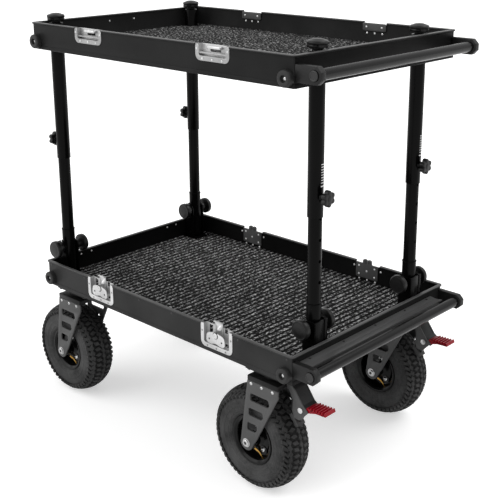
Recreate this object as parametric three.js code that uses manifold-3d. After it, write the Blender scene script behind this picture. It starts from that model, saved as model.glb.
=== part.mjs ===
// Two-tier camera cart: two shallow trays on four telescoping posts and four swivel casters.
// Millimetres, +Z up, +X towards the push handles, -Y the side with the latches.
// The origin is at the floor, under the middle of the whole cart.

import * as THREE from 'three';
import { mergeVertices } from 'three/addons/utils/BufferGeometryUtils.js';
import Module from 'manifold-3d';

const wasm = await Module();
wasm.setup();

// Fits shared by all pieces
const fitGap = 0.3;
const turnGap = 0.5;
const cutOverrun = 2;

// Trays
const trayLength = 900;
const trayWidth = 588;
const trayHeight = 68;
const trayRise = 651;
const rimLip = 3;
const rimInset = 2;
const rimHeight = 5;
const rimCornerRadius = 6;
const wallThickness = 4;
const ledgeRise = 5;
const ledgeWidth = 8;
const ledgeThickness = 3;
const deckThickness = 3;
const matDepth = 50;
const matEdgeGap = 1;
const bumperRadius = 18;
const bumperLength = 15;
const bumperChamfer = 3;
const bumperInset = 22;
const lowerBumperRise = 22;
const upperBumperRise = 20;

// Push handles and the ledge behind the lower one
const handleReach = 50;
const handleTubeRadius = 12.5;
const lowerHandleDrop = 30;
const upperHandleDrop = 36;
const armHeight = 37;
const armThickness = 15;
const armNose = 18;
const armChamfer = 11;
const plugRadius = 11;
const plugLength = 3;
const ledgeDrop = 17;
const ledgeDish = 3;
const ledgePlate = 3;
const ledgeFlangeHeight = 14;
const ledgeFarStop = 36;

// Twist latches, their catches and the lift-off hinges
const hardwareX = 215;
const dishWidth = 103;
const dishFlange = 9;
const dishSheet = 1.5;
const dishCornerRadius = 14;
const dishRecess = 11;
const latchDishHeight = 58;
const catchDishHeight = 37;
const wingSpan = 64;
const wingHeight = 25;
const wingThickness = 2.5;
const wingWaist = 13;
const wingDrop = 33;
const wingHubRadius = 9;
const wingHubHeight = 2;
const hookWidth = 34;
const hookThickness = 2;
const hookAbove = 12;
const hookLip = 5;
const hookBelow = 38;
const hookSlotHalf = 10;
const catchBarHeight = 6;
const catchBarDrop = 15;
const leafWidth = 73;
const leafThickness = 3;
const lowerLeafHeight = 42;
const upperLeafHeight = 20;
const leafTopDrop = 3;
const knuckleWidth = 28;
const knuckleThickness = 6;
const knuckleAbove = 9;

// Telescoping posts
const postInset = 33;
const frontPostInset = 109;
const backPostInset = 55;
const lowerTubeRadius = 15.7;
const lowerTubeWall = 2;
const lowerTubeStop = 120;
const upperTubeWall = 1.6;
const upperTubeHang = 296;
const socketRadius = 18;
const socketRise = 87;
const socketLift = 6;
const socketRing = 3;
const socketRingProud = 0.8;
const pinHoleRadius = 4;
const pinHolePitch = 49;
const pinHoleCount = 7;
const pinHolesAbove = 2;
const bracketWall = 4;
const bracketBack = 14;
const bracketRise = 49;
const bracketPlate = 4;
const bracketFlange = 14;
const webReach = 4;
const slitWidth = 3;
const slitOffset = 9;
const pivotRise = 34.5;
const pivotBoltRadius = 5;
const pivotKnobRadius = 23.5;
const pivotKnobFace = 51;
const pivotKnobLength = 14;
const pivotKnobRound = 3;
const pivotKnobNeck = 12;
const matNotch = 8;

// Star knobs that clamp the height
const starKnobRise = 47;
const starBossRadius = 9;
const starBossLength = 7;
const starStudRadius = 4;
const starStudBack = 1.2;
const starInnerRadius = 14;
const starLobeRadius = 19;
const starLobes = 6;
const starThickness = 13;
const starStandOff = 3;

// Round knobs on top of the posts
const bossFlangeRadius = 25;
const bossFlangeHeight = 4;
const bossTopDrop = 4;
const bossPlug = 20;
const topKnobRadius = 23;
const topKnobRise = 18;
const topKnobEdge = 7;
const topKnobNeckRadius = 12;
const topKnobNeck = 7;
const topKnobStudRadius = 6;
const topKnobStud = 14;

// Casters
const casterFrontInset = 90;
const casterBackInset = 94;
const casterSideInset = 53;
const casterTrail = 50;
const wheelRadius = 127;
const tyreWidth = 82;
const tyreShoulder = 30;
const tyreBeadWidth = 62;
const forkHalfLength = 46.5;
const forkHalfWidth = 51.7;
const forkPlate = 5;
const tyreClearance = 36;
const forkCrownHeight = 12;
const forkStraight = 29;
const forkEndRadius = 19;
const forkBackInset = 7;
const forkEndSweep = 150;
const forkSlotCount = 3;
const forkSlotHeight = 15;
const forkSlotLean = 7;
const forkSlotPitch = 37;
const forkSlotTopDrop = 45;
const forkSlotMargin = 9;
const axleRadius = 6;
const axleHeadRadius = 11;
const axleHeadLength = 5;
const raceRadius = 36;
const raceHeight = 14;
const kingpinRadius = 10;
const kingpinLength = 8;
const mountLength = 100;
const mountWidth = 74;
const mountDrop = 11;

// Wheel rims
const barrelRadius = 54;
const barrelWall = 4;
const barrelHalfWidth = 31;
const rimFlangeRadius = 61;
const rimFlangeThickness = 3.5;
const hubRadius = 17;
const hubHalfWidth = 40;
const webHalfThickness = 4;

// Brakes on the front casters
const brakePivotReach = 87;
const brakePivotDrop = 53;
const brakeHalfWidth = 21;
const brakeCheek = 3;
const brakeCheekFrontReach = 99;
const brakeCheekLow = 15;
const shieldDrop = 39;
const shieldReach = 93;
const shieldThickness = 9;
const brakeBoltRadius = 4;
const brakeBoltHead = 7;
const brakeBoltHeadLength = 3;
const pedalLength = 62;
const pedalThickness = 9;
const pedalTip = 5;
const pedalRibs = 6;
const pedalRibHeight = 2;
const pedalHubRadius = 9;
const padGap = 6;
const padRadius = 10;
const padLength = 13;
const padArm = 9;
const padAngle = 35.5;

// How finely round shapes are faceted
const tubeSteps = 12;
const knobSteps = 12;
const boltSteps = 8;
const tyreSteps = 24;
const rimSteps = 16;
const cornerSteps = 2;
const starLobeSteps = 6;
const domeSteps = 2;
const crownSteps = 4;

// Materials
function paint(color, roughness, metalness) {
  return new THREE.MeshStandardMaterial({ color, roughness, metalness });
}

const blackAluminium = paint(0x2b2b2c, 0.45, 0.6);
const darkDeck = paint(0x141414, 0.6, 0.4);
const carpetDark = paint(0x1d1d1e, 1, 0);
const carpetGrey = paint(0x3a3a3b, 1, 0);
const tubeBlack = paint(0x161617, 0.35, 0.7);
const knobPlastic = paint(0x1c1c1d, 0.5, 0);
const chrome = paint(0xc9cacb, 0.2, 1);
const hingeSteel = paint(0x3b3b3c, 0.45, 0.8);
const rubber = paint(0x2e2e2f, 0.85, 0);
const forkGrey = paint(0x3a3a3b, 0.5, 0.6);
const wheelBlack = paint(0x0e0e0e, 0.4, 0.5);
const pedalRed = paint(0xa5122a, 0.4, 0.2);

// Solids: every three.js geometry becomes a closed solid, is joined or cut, and comes back as a geometry

function signedVolume(points, faces) {
  const corners = [new THREE.Vector3(), new THREE.Vector3(), new THREE.Vector3()];
  let sum = 0;
  for (let i = 0; i < faces.length; i += 3) {
    corners.forEach((corner, k) => corner.fromArray(points, 3 * faces[i + k]));
    sum += corners[0].dot(corners[1].cross(corners[2]));
  }
  return sum;
}

function solid(geometry) {
  geometry.deleteAttribute('normal');
  geometry.deleteAttribute('uv');
  const merged = mergeVertices(geometry);
  const points = Float32Array.from(merged.attributes.position.array);
  const faces = Uint32Array.from(merged.index.array);
  if (signedVolume(points, faces) < 0) {
    for (let i = 0; i < faces.length; i += 3) {
      [faces[i], faces[i + 1]] = [faces[i + 1], faces[i]];
    }
  }
  return new wasm.Manifold(new wasm.Mesh({ numProp: 3, vertProperties: points, triVerts: faces }));
}

function join(...solids) {
  return solids.reduce((sum, next) => sum.add(next));
}

function geometryOf(body) {
  const mesh = body.getMesh();
  const geometry = new THREE.BufferGeometry();
  geometry.setAttribute('position', new THREE.BufferAttribute(Float32Array.from(mesh.vertProperties), 3));
  geometry.setIndex(new THREE.BufferAttribute(Uint32Array.from(mesh.triVerts), 1));
  geometry.computeVertexNormals();
  return geometry;
}

// A box between two corners
function block(x0, x1, y0, y1, z0, z1) {
  const geometry = new THREE.BoxGeometry(x1 - x0, y1 - y0, z1 - z0);
  geometry.translate((x0 + x1) / 2, (y0 + y1) / 2, (z0 + z1) / 2);
  return solid(geometry);
}

function extruded(shape, depth, curveSegments) {
  return new THREE.ExtrudeGeometry(shape, { depth, bevelEnabled: false, curveSegments });
}

// An outline in X and Y, raised along Z
function raised(shape, z0, z1) {
  const geometry = extruded(shape, z1 - z0, cornerSteps);
  geometry.translate(0, 0, z0);
  return solid(geometry);
}

// An outline in X and Z, drawn out along Y
function alongY(shape, y0, y1) {
  const geometry = extruded(shape, y1 - y0, 2 * cornerSteps);
  geometry.rotateX(Math.PI / 2);
  geometry.translate(0, y1, 0);
  return solid(geometry);
}

// An outline in Y and Z, drawn out along X
function alongX(shape, x0, x1) {
  const geometry = extruded(shape, x1 - x0, cornerSteps);
  const axes = [new THREE.Vector3(0, 1, 0), new THREE.Vector3(0, 0, 1), new THREE.Vector3(1, 0, 0)];
  geometry.applyMatrix4(new THREE.Matrix4().makeBasis(...axes));
  geometry.translate(x0, 0, 0);
  return solid(geometry);
}

// A turned profile of [radius, height] points, around Z, X or Y
function turned(profile, steps, axis = 'z') {
  const points = profile.map(([radius, height]) => new THREE.Vector2(radius, height));
  const geometry = new THREE.LatheGeometry(points, steps);
  if (axis === 'z') geometry.rotateX(Math.PI / 2);
  if (axis === 'x') geometry.rotateZ(-Math.PI / 2);
  return solid(geometry);
}

function rod(radius, from, to, steps, axis) {
  return turned([[0, from], [radius, from], [radius, to], [0, to]], steps, axis);
}

// A faceted bore whose flats clear a shaft by the gap at any turn
function boreFor(radius, gap, steps) {
  return (radius + gap) / Math.cos(Math.PI / steps);
}

function polygon(points) {
  return new THREE.Shape(points.map(([x, y]) => new THREE.Vector2(x, y)));
}

function roundedRectangle(length, width, radius) {
  const [x, y, r] = [length / 2, width / 2, radius];
  const shape = new THREE.Shape();
  shape.absarc(x - r, y - r, r, 0, Math.PI / 2);
  shape.absarc(r - x, y - r, r, Math.PI / 2, Math.PI);
  shape.absarc(r - x, r - y, r, Math.PI, 1.5 * Math.PI);
  shape.absarc(x - r, r - y, r, 1.5 * Math.PI, 2 * Math.PI);
  shape.closePath();
  return shape;
}

function named(name, body, material) {
  const mesh = new THREE.Mesh(body.isBufferGeometry ? body : geometryOf(body), material);
  mesh.name = name;
  return mesh;
}

// Places worked out from the sizes above
const wallX = trayLength / 2 - rimLip;
const wallY = trayWidth / 2 - rimLip;
const ledgeTop = ledgeRise + ledgeThickness;
const deckBase = ledgeTop + fitGap;
const deckTop = deckBase + deckThickness;
const matTop = trayHeight - matDepth;
const casterFrontX = trayLength / 2 - casterFrontInset;
const casterBackX = trayLength / 2 - casterBackInset;
const casterY = trayWidth / 2 - casterSideInset;
const forkTopZ = 2 * wheelRadius + tyreClearance + forkCrownHeight;
const raceTopZ = forkTopZ + raceHeight;
const lowerTrayZ = raceTopZ + fitGap + mountDrop - deckBase;
const lowerRimZ = lowerTrayZ + trayHeight;
const upperRimZ = lowerRimZ + trayRise;
const upperTrayZ = upperRimZ - trayHeight;
const deckX = wallX - wallThickness - fitGap;
const deckY = wallY - wallThickness - fitGap;
const handleX = wallX + handleReach;
const postX = trayLength / 2 - postInset;
const frontPostY = trayWidth / 2 - frontPostInset;
const backPostY = trayWidth / 2 - backPostInset;
const bracketTopZ = lowerRimZ + bracketRise;
const pivotZ = lowerRimZ + pivotRise;
const socketTopZ = lowerRimZ + socketRise;
const lowerTubeTopZ = upperTrayZ - lowerTubeStop;
const upperTubeBottomZ = upperTrayZ - upperTubeHang;
const starKnobZ = upperTubeBottomZ + starKnobRise;
const brakePivotZ = forkTopZ - brakePivotDrop;
const upperTubeBore = lowerTubeRadius + turnGap;
const upperTubeRadius = upperTubeBore + upperTubeWall;
const bracketInner = socketRadius + turnGap;
const bracketOuter = bracketInner + bracketWall;
const bracketFrontX = bracketInner + webReach;
const posts = [
  { name: 'front_near', outward: 1, side: -1, y: frontPostY },
  { name: 'front_far', outward: 1, side: 1, y: frontPostY },
  { name: 'back_near', outward: -1, side: -1, y: backPostY },
  { name: 'back_far', outward: -1, side: 1, y: backPostY },
];
const latches = [
  { name: 'front', x: hardwareX },
  { name: 'back', x: -hardwareX },
];

// Tray frames: thin walls with a beaded rim, and a ledge inside that carries the deck

function ring(outerX, outerY, thickness, z0, z1) {
  const shape = roundedRectangle(2 * outerX, 2 * outerY, rimCornerRadius);
  shape.holes.push(polygon([
    [thickness - outerX, thickness - outerY],
    [thickness - outerX, outerY - thickness],
    [outerX - thickness, outerY - thickness],
    [outerX - thickness, thickness - outerY],
  ]));
  return raised(shape, z0, z1);
}

function bumpers(rise) {
  const root = wallY - wallThickness / 2;
  const face = wallY + bumperLength;
  const profile = [
    [0, root],
    [bumperRadius, root],
    [bumperRadius, face - bumperChamfer],
    [bumperRadius - bumperChamfer, face],
    [0, face],
  ];
  const solids = [];
  for (const end of [-1, 1]) {
    for (const side of [-1, 1]) {
      const mirrored = profile.map(([radius, height]) => [radius, side * height]);
      const x = end * (trayLength / 2 - bumperInset);
      solids.push(turned(mirrored, knobSteps, 'y').translate([x, 0, rise]));
    }
  }
  return join(...solids);
}

function trayFrame(dishHeight, leafHeight, bumperRise) {
  const rimThickness = rimLip + wallThickness + rimInset;
  let frame = join(
    ring(wallX, wallY, wallThickness, 0, trayHeight),
    ring(trayLength / 2, trayWidth / 2, rimThickness, trayHeight - rimHeight, trayHeight),
    ring(wallX, wallY, wallThickness + ledgeWidth, ledgeRise, ledgeTop),
    bumpers(bumperRise),
  );
  const panHalf = dishWidth / 2 - dishFlange;
  const top = trayHeight + cutOverrun;
  for (const { x } of latches) {
    const panFloor = trayHeight - dishHeight + dishFlange - fitGap;
    const window = block(x - panHalf - fitGap, x + panHalf + fitGap, -trayWidth / 2 - cutOverrun,
      ledgeWidth - wallY + dishRecess, panFloor, top);
    const flangeHalf = dishWidth / 2 + fitGap;
    const rimCut = block(x - flangeHalf, x + flangeHalf, -trayWidth / 2 - cutOverrun, -wallY,
      trayHeight - dishHeight - fitGap, top);
    const leafHalf = leafWidth / 2 + fitGap;
    const leafCut = block(x - leafHalf, x + leafHalf, wallY - wallThickness - leafThickness - cutOverrun,
      wallY - wallThickness, trayHeight - leafHeight - cutOverrun, top);
    frame = frame.subtract(window).subtract(rimCut).subtract(leafCut);
  }
  return frame;
}

// Decks and mats

function deckPlate() {
  return block(-deckX, deckX, -deckY, deckY, deckBase, deckTop);
}

function casterPlaces() {
  return [
    { name: 'front_near', x: casterFrontX, y: -casterY, braked: true },
    { name: 'front_far', x: casterFrontX, y: casterY, braked: true },
    { name: 'back_near', x: -casterBackX, y: -casterY, braked: false },
    { name: 'back_far', x: -casterBackX, y: casterY, braked: false },
  ];
}

function lowerDeck() {
  let deck = deckPlate();
  for (const { x, y } of casterPlaces()) {
    const mount = block(x - mountLength / 2, x + mountLength / 2, y - mountWidth / 2, y + mountWidth / 2,
      deckBase - mountDrop, deckTop - deckThickness / 2);
    const socket = rod(boreFor(kingpinRadius, turnGap, boltSteps), deckBase - mountDrop - cutOverrun,
      deckBase - mountDrop + kingpinLength + turnGap, boltSteps, 'z').translate([x, y, 0]);
    deck = deck.add(mount).subtract(socket);
  }
  return deck;
}

function upperDeck() {
  let deck = deckPlate();
  for (const { outward, side, y } of posts) {
    const hole = rod(upperTubeRadius + fitGap, 0, trayHeight, tubeSteps, 'z');
    deck = deck.subtract(hole.translate([outward * postX, side * y, 0]));
  }
  return deck;
}

function mat(cutter) {
  const x = deckX - matEdgeGap;
  const y = deckY - matEdgeGap;
  let sheet = block(-x, x, -y, y, deckTop + fitGap, matTop);
  for (const { x: latchX } of latches) {
    const panHalf = dishWidth / 2 - dishFlange + matEdgeGap;
    sheet = sheet.subtract(block(latchX - panHalf, latchX + panHalf, -y - cutOverrun,
      dishRecess + matEdgeGap - wallY, 0, trayHeight));
  }
  for (const { outward, side, y: postY } of posts) {
    sheet = sheet.subtract(cutter(outward).translate([outward * postX, side * postY, 0]));
  }
  return sheet;
}

function bracketNotch(outward) {
  const inner = -bracketBack - bracketFlange - matNotch;
  const span = [outward * inner, outward * (wallX - postX)].sort((a, b) => a - b);
  const half = bracketOuter + matNotch;
  return block(span[0], span[1], -half, half, 0, trayHeight);
}

function bossHole() {
  return rod(bossFlangeRadius + matEdgeGap, 0, trayHeight, knobSteps, 'z');
}

// Push handles

function handle(drop) {
  const nose = handleX + armNose;
  const [low, high] = [-armHeight / 2, armHeight / 2];
  const outline = polygon([
    [wallX + fitGap, low],
    [nose - armChamfer, low],
    [nose, low + armChamfer],
    [nose, high - armChamfer],
    [nose - armChamfer, high],
    [wallX + fitGap, high],
  ]);
  const arms = [-wallY, wallY - armThickness].map((y) => alongY(outline, y, y + armThickness));
  const plugs = rod(plugRadius, -wallY - plugLength, wallY + plugLength, knobSteps, 'y');
  const tube = rod(handleTubeRadius, -wallY + armThickness / 2, wallY - armThickness / 2, tubeSteps, 'y');
  const grips = join(plugs, tube).translate([handleX, 0, 0]);
  return join(...arms, grips).translate([0, 0, trayHeight - drop]);
}

function frontLedge() {
  const inner = wallX + fitGap;
  const outer = handleX - handleTubeRadius - fitGap;
  const top = trayHeight - ledgeDrop;
  const middle = (inner + outer) / 2;
  const outline = polygon([
    [inner, top - ledgeFlangeHeight],
    [inner + ledgePlate, top - ledgeFlangeHeight],
    [inner + ledgePlate, top - ledgePlate],
    [middle, top - ledgePlate - ledgeDish],
    [outer, top - ledgePlate],
    [outer, top],
    [middle, top - ledgeDish],
    [inner, top],
  ]);
  const armInside = wallY - armThickness - fitGap;
  return alongY(outline, -armInside, armInside - ledgeFarStop);
}

// Recessed dishes in the near wall, the twist wings and the hooks

function dish(height) {
  const half = dishWidth / 2;
  const panHalf = half - dishFlange;
  const face = -wallY - dishSheet;
  const floor = -wallY + dishRecess;
  const radius = dishCornerRadius;
  const outline = new THREE.Shape();
  outline.moveTo(half, 0);
  outline.lineTo(-half, 0);
  outline.lineTo(-half, radius - height);
  outline.absarc(radius - half, radius - height, radius, Math.PI, 1.5 * Math.PI);
  outline.absarc(half - radius, radius - height, radius, 1.5 * Math.PI, 2 * Math.PI);
  outline.closePath();
  const flange = alongY(outline, face, -wallY);
  const pan = block(-panHalf, panHalf, -wallY - dishSheet / 2, floor, dishFlange - height, 0);
  const hollow = block(dishSheet - panHalf, panHalf - dishSheet, face - cutOverrun, floor - dishSheet,
    dishFlange - height + dishSheet, cutOverrun);
  return flange.add(pan).subtract(hollow);
}

function latchDish() {
  const floor = -wallY + dishRecess - dishSheet;
  const wingBack = -wallY - dishSheet - turnGap;
  const stalk = rod(wingHubRadius / 2, wingBack + fitGap, floor + dishSheet / 2, boltSteps, 'y');
  return dish(latchDishHeight).add(stalk.translate([0, 0, -wingDrop]));
}

function catchDish() {
  const half = dishWidth / 2 - dishFlange - dishSheet / 2;
  const floor = -wallY + dishRecess - dishSheet / 2;
  const top = -catchBarDrop;
  return dish(catchDishHeight).add(block(-half, half, -wallY, floor, top - catchBarHeight, top));
}

function latchWing() {
  const half = wingSpan / 2;
  const rise = wingHeight / 2;
  const waist = wingWaist / 2;
  const outline = new THREE.Shape();
  outline.moveTo(half, 0);
  outline.quadraticCurveTo(half, rise, half / 2, rise);
  outline.quadraticCurveTo(waist, rise, 0, waist);
  outline.quadraticCurveTo(-waist, rise, -half / 2, rise);
  outline.quadraticCurveTo(-half, rise, -half, 0);
  outline.quadraticCurveTo(-half, -rise, -half / 2, -rise);
  outline.quadraticCurveTo(-waist, -rise, 0, -rise);
  outline.quadraticCurveTo(waist, -rise, half / 2, -rise);
  outline.quadraticCurveTo(half, -rise, half, 0);
  const hub = rod(wingHubRadius, -wingThickness - wingHubHeight, -wingThickness / 2, boltSteps, 'y');
  return alongY(outline, -wingThickness, 0).add(hub);
}

function latchHook() {
  const back = dishRecess - dishSheet - fitGap;
  const front = back - hookThickness;
  const half = hookWidth / 2;
  const plate = block(-half, half, front, back, -hookBelow, hookAbove);
  const lip = block(-half, half, front - hookLip, back, hookAbove - hookThickness, hookAbove);
  const slotHalf = wingHubRadius / 2 + turnGap;
  const slot = block(-slotHalf, slotHalf, front - cutOverrun, back + cutOverrun,
    -hookBelow - cutOverrun, hookSlotHalf - wingDrop);
  return plate.add(lip).subtract(slot);
}

// Lift-off hinge leaves on the inside of the far wall

function hingeLeaf(height, hasKnuckle) {
  const back = wallY - wallThickness - fitGap;
  const front = back - leafThickness;
  const leaf = block(-leafWidth / 2, leafWidth / 2, front, back, -height - leafTopDrop, -leafTopDrop);
  if (!hasKnuckle) return leaf;
  const half = knuckleWidth / 2;
  const knuckle = block(-half, half, front, front + knuckleThickness, fitGap, knuckleAbove);
  const neck = block(-half, half, front, back, -leafTopDrop - leafThickness, knuckleAbove / 2);
  return join(leaf, neck, knuckle);
}

// Posts. Each is drawn with its outward side along +X

const deckTopZ = lowerTrayZ + deckTop;
const bracketBaseZ = deckTopZ + fitGap;
const upperDeckTopZ = upperTrayZ + deckTop;
const bossTopZ = upperRimZ - bossTopDrop;

function postBase() {
  const top = bracketTopZ;
  const flange = block(-bracketBack - bracketFlange, bracketFrontX, -bracketOuter, bracketOuter,
    bracketBaseZ, bracketBaseZ + bracketPlate);
  const ear = new THREE.Shape();
  ear.moveTo(-bracketBack, bracketBaseZ);
  ear.lineTo(bracketFrontX, bracketBaseZ);
  ear.lineTo(bracketFrontX, top);
  ear.lineTo(0, top);
  ear.absarc(0, top - bracketBack, bracketBack, Math.PI / 2, Math.PI);
  ear.closePath();
  const near = alongY(ear, -bracketOuter, -bracketInner);
  const far = alongY(ear, bracketInner, bracketOuter);
  const web = block(bracketInner, bracketFrontX, -bracketOuter, bracketOuter, bracketBaseZ, top);
  const slit = block(bracketInner - cutOverrun, bracketFrontX + cutOverrun,
    slitOffset, slitOffset + slitWidth, bracketBaseZ + bracketPlate + bracketWall, top + cutOverrun);
  const bolt = rod(boreFor(pivotBoltRadius, fitGap, boltSteps), -bracketOuter - cutOverrun,
    bracketOuter + cutOverrun, boltSteps, 'y');
  return join(flange, near, far, web).subtract(slit).subtract(bolt.translate([0, 0, pivotZ]));
}

function lowerTube() {
  const bore = lowerTubeRadius - lowerTubeWall;
  const low = bracketBaseZ + bracketPlate + socketLift;
  const ringRadius = socketRadius - socketRingProud;
  const profile = [
    [bore, low],
    [ringRadius, low],
    [ringRadius, socketTopZ - socketRing],
    [socketRadius, socketTopZ - socketRing],
    [socketRadius, socketTopZ],
    [lowerTubeRadius, socketTopZ],
    [lowerTubeRadius, lowerTubeTopZ],
    [bore, lowerTubeTopZ],
    [bore, low],
  ];
  let tube = turned(profile, tubeSteps);
  for (let i = 0; i < pinHoleCount; i += 1) {
    const hole = rod(pinHoleRadius, 0, lowerTubeRadius + cutOverrun, boltSteps, 'x');
    tube = tube.subtract(hole.translate([0, 0, starKnobZ + (pinHolesAbove - i) * pinHolePitch]));
  }
  const bolt = rod(boreFor(pivotBoltRadius, fitGap, boltSteps), -socketRadius - cutOverrun,
    socketRadius + cutOverrun, boltSteps, 'y');
  return tube.subtract(bolt.translate([0, 0, pivotZ]));
}

function upperTube() {
  const studBore = boreFor(topKnobStudRadius, turnGap, tubeSteps);
  const profile = [
    [upperTubeBore, upperTubeBottomZ],
    [upperTubeRadius, upperTubeBottomZ],
    [upperTubeRadius, upperDeckTopZ + fitGap],
    [bossFlangeRadius, upperDeckTopZ + fitGap],
    [bossFlangeRadius, upperDeckTopZ + fitGap + bossFlangeHeight],
    [upperTubeRadius, upperDeckTopZ + fitGap + bossFlangeHeight],
    [upperTubeRadius, bossTopZ],
    [studBore, bossTopZ],
    [studBore, bossTopZ - bossPlug],
    [upperTubeBore, bossTopZ - bossPlug],
    [upperTubeBore, upperTubeBottomZ],
  ];
  const tube = turned(profile, tubeSteps);
  const bossEnd = upperTubeRadius + starBossLength;
  const boss = rod(starBossRadius, upperTubeBore + upperTubeWall / 2, bossEnd, boltSteps, 'x');
  const boreRadius = boreFor(starStudRadius, fitGap, boltSteps);
  const bore = rod(boreRadius, upperTubeBore / 2, bossEnd + cutOverrun, boltSteps, 'x');
  const lift = [0, 0, starKnobZ];
  return tube.add(boss.translate(lift)).subtract(bore.translate(lift));
}

function starKnob() {
  const outline = new THREE.Shape();
  const steps = starLobeSteps * starLobes;
  for (let i = 0; i < steps; i += 1) {
    const angle = (2 * Math.PI * i) / steps;
    const swell = (1 + Math.cos(starLobes * angle)) / 2;
    const radius = starInnerRadius + (starLobeRadius - starInnerRadius) * Math.sqrt(swell);
    const point = [radius * Math.cos(angle), radius * Math.sin(angle)];
    if (i === 0) outline.moveTo(...point);
    else outline.lineTo(...point);
  }
  const back = upperTubeRadius + starBossLength + starStandOff;
  const tip = upperTubeBore + starStudBack;
  const stud = rod(starStudRadius, tip, back + starThickness / 2, boltSteps, 'x');
  return alongX(outline, back, back + starThickness).add(stud);
}

function topKnob() {
  const neckTop = bossTopZ + fitGap + topKnobNeck;
  const top = neckTop + topKnobRise;
  const profile = [
    [0, bossTopZ - topKnobStud],
    [topKnobStudRadius, bossTopZ - topKnobStud],
    [topKnobStudRadius, bossTopZ + fitGap],
    [topKnobNeckRadius, bossTopZ + fitGap],
    [topKnobNeckRadius, neckTop],
    [topKnobRadius, neckTop + topKnobEdge / 2],
    [topKnobRadius, neckTop + topKnobEdge],
  ];
  for (let i = 1; i <= domeSteps; i += 1) {
    const angle = (Math.PI / 2) * (i / domeSteps);
    const height = neckTop + topKnobEdge + (top - neckTop - topKnobEdge) * Math.sin(angle);
    profile.push([i === domeSteps ? 0 : topKnobRadius * Math.cos(angle), height]);
  }
  return turned(profile, knobSteps);
}

// A through bolt with a round knob on each end
function pivotBolt() {
  const inner = bracketOuter + fitGap;
  const disc = pivotKnobFace - pivotKnobLength;
  const half = [
    [pivotBoltRadius, inner],
    [pivotKnobNeck, inner],
    [pivotKnobNeck, disc],
    [pivotKnobRadius, disc],
    [pivotKnobRadius, pivotKnobFace - pivotKnobRound],
    [pivotKnobRadius - pivotKnobRound, pivotKnobFace],
    [0, pivotKnobFace],
  ];
  const mirrored = half.map(([radius, height]) => [radius, -height]).reverse();
  return turned([...mirrored, ...half], knobSteps, 'y');
}

// Casters. Each is drawn around its swivel axis, with the wheel trailing towards -X

function forkSide() {
  const axle = -casterTrail;
  const top = forkTopZ - forkCrownHeight / 2;
  const outline = new THREE.Shape();
  outline.moveTo(-forkHalfLength, top);
  outline.lineTo(axle - forkEndRadius, wheelRadius);
  const endTurn = Math.PI + THREE.MathUtils.degToRad(forkEndSweep);
  outline.absarc(axle, wheelRadius, forkEndRadius, Math.PI, endTurn);
  outline.lineTo(forkHalfLength, top - forkStraight);
  outline.lineTo(forkHalfLength, top);
  outline.closePath();
  for (let i = 0; i < forkSlotCount; i += 1) {
    const z = forkTopZ - forkSlotTopDrop - i * forkSlotPitch;
    const down = (forkTopZ - forkStraight - z) / (forkTopZ - forkStraight - wheelRadius);
    const rearEdge = -forkHalfLength + (axle - forkEndRadius + forkHalfLength) * down;
    const frontEdge = forkHalfLength + (axle + forkEndRadius - forkHalfLength) * down;
    const left = rearEdge + forkSlotMargin + forkBackInset * (1 - down);
    const right = frontEdge - forkSlotMargin - forkSlotLean;
    outline.holes.push(polygon([
      [left, z + forkSlotHeight / 2],
      [right, z + forkSlotHeight / 2],
      [right - forkSlotLean / 2, z - forkSlotHeight / 2],
      [left, z - forkSlotHeight / 2],
    ]));
  }
  return outline;
}

function brakeCheeks() {
  const outline = polygon([
    [forkHalfLength - forkCrownHeight, forkTopZ],
    [forkHalfLength + forkCrownHeight, forkTopZ],
    [brakeCheekFrontReach, brakePivotZ + brakeCheekLow],
    [brakeCheekFrontReach, brakePivotZ - brakeCheekLow / 2],
    [brakePivotReach - brakeCheekLow, brakePivotZ - brakeCheekLow],
    [forkHalfLength + brakeCheek, forkTopZ - forkCrownHeight],
    [forkHalfLength - forkCrownHeight, forkTopZ - forkCrownHeight],
  ]);
  const shield = polygon([
    [forkHalfLength + brakeCheek, forkTopZ],
    [forkHalfLength + forkCrownHeight, forkTopZ],
    [shieldReach, forkTopZ - shieldDrop],
    [shieldReach - shieldThickness, forkTopZ - shieldDrop - brakeCheek],
    [forkHalfLength - brakeCheek, forkTopZ - forkCrownHeight],
  ]);
  const seat = brakeHalfWidth - brakeCheek / 2;
  const tip = brakeHalfWidth + brakeBoltHeadLength;
  const bolt = rod(brakeBoltRadius, -brakeHalfWidth, brakeHalfWidth, boltSteps, 'y');
  const head = rod(brakeBoltHead, -tip, -seat, boltSteps, 'y');
  const tail = rod(brakeBoltHead, seat, tip, boltSteps, 'y');
  return join(
    alongY(outline, -brakeHalfWidth, brakeCheek - brakeHalfWidth),
    alongY(outline, brakeHalfWidth - brakeCheek, brakeHalfWidth),
    alongY(shield, brakeCheek / 2 - brakeHalfWidth, brakeHalfWidth - brakeCheek / 2),
    join(bolt, head, tail).translate([brakePivotReach, 0, brakePivotZ]),
  );
}

function casterFork(braked) {
  const side = forkSide();
  const crown = block(-forkHalfLength, forkHalfLength, -forkHalfWidth, forkHalfWidth,
    forkTopZ - forkCrownHeight, forkTopZ);
  const race = rod(raceRadius, forkTopZ - forkCrownHeight / 2, raceTopZ, tubeSteps, 'z');
  const kingpin = rod(kingpinRadius, forkTopZ, raceTopZ + kingpinLength, boltSteps, 'z');
  const reach = forkHalfWidth + axleHeadLength;
  const axle = join(
    rod(axleRadius, -forkHalfWidth, forkHalfWidth, boltSteps, 'y'),
    rod(axleHeadRadius, -reach, forkPlate / 2 - forkHalfWidth, boltSteps, 'y'),
    rod(axleHeadRadius, forkHalfWidth - forkPlate / 2, reach, boltSteps, 'y'),
  ).translate([-casterTrail, 0, wheelRadius]);
  const fork = join(
    crown,
    race,
    kingpin,
    alongY(side, -forkHalfWidth, forkPlate - forkHalfWidth),
    alongY(side, forkHalfWidth - forkPlate, forkHalfWidth),
    axle,
  );
  return braked ? fork.add(brakeCheeks()) : fork;
}

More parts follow.
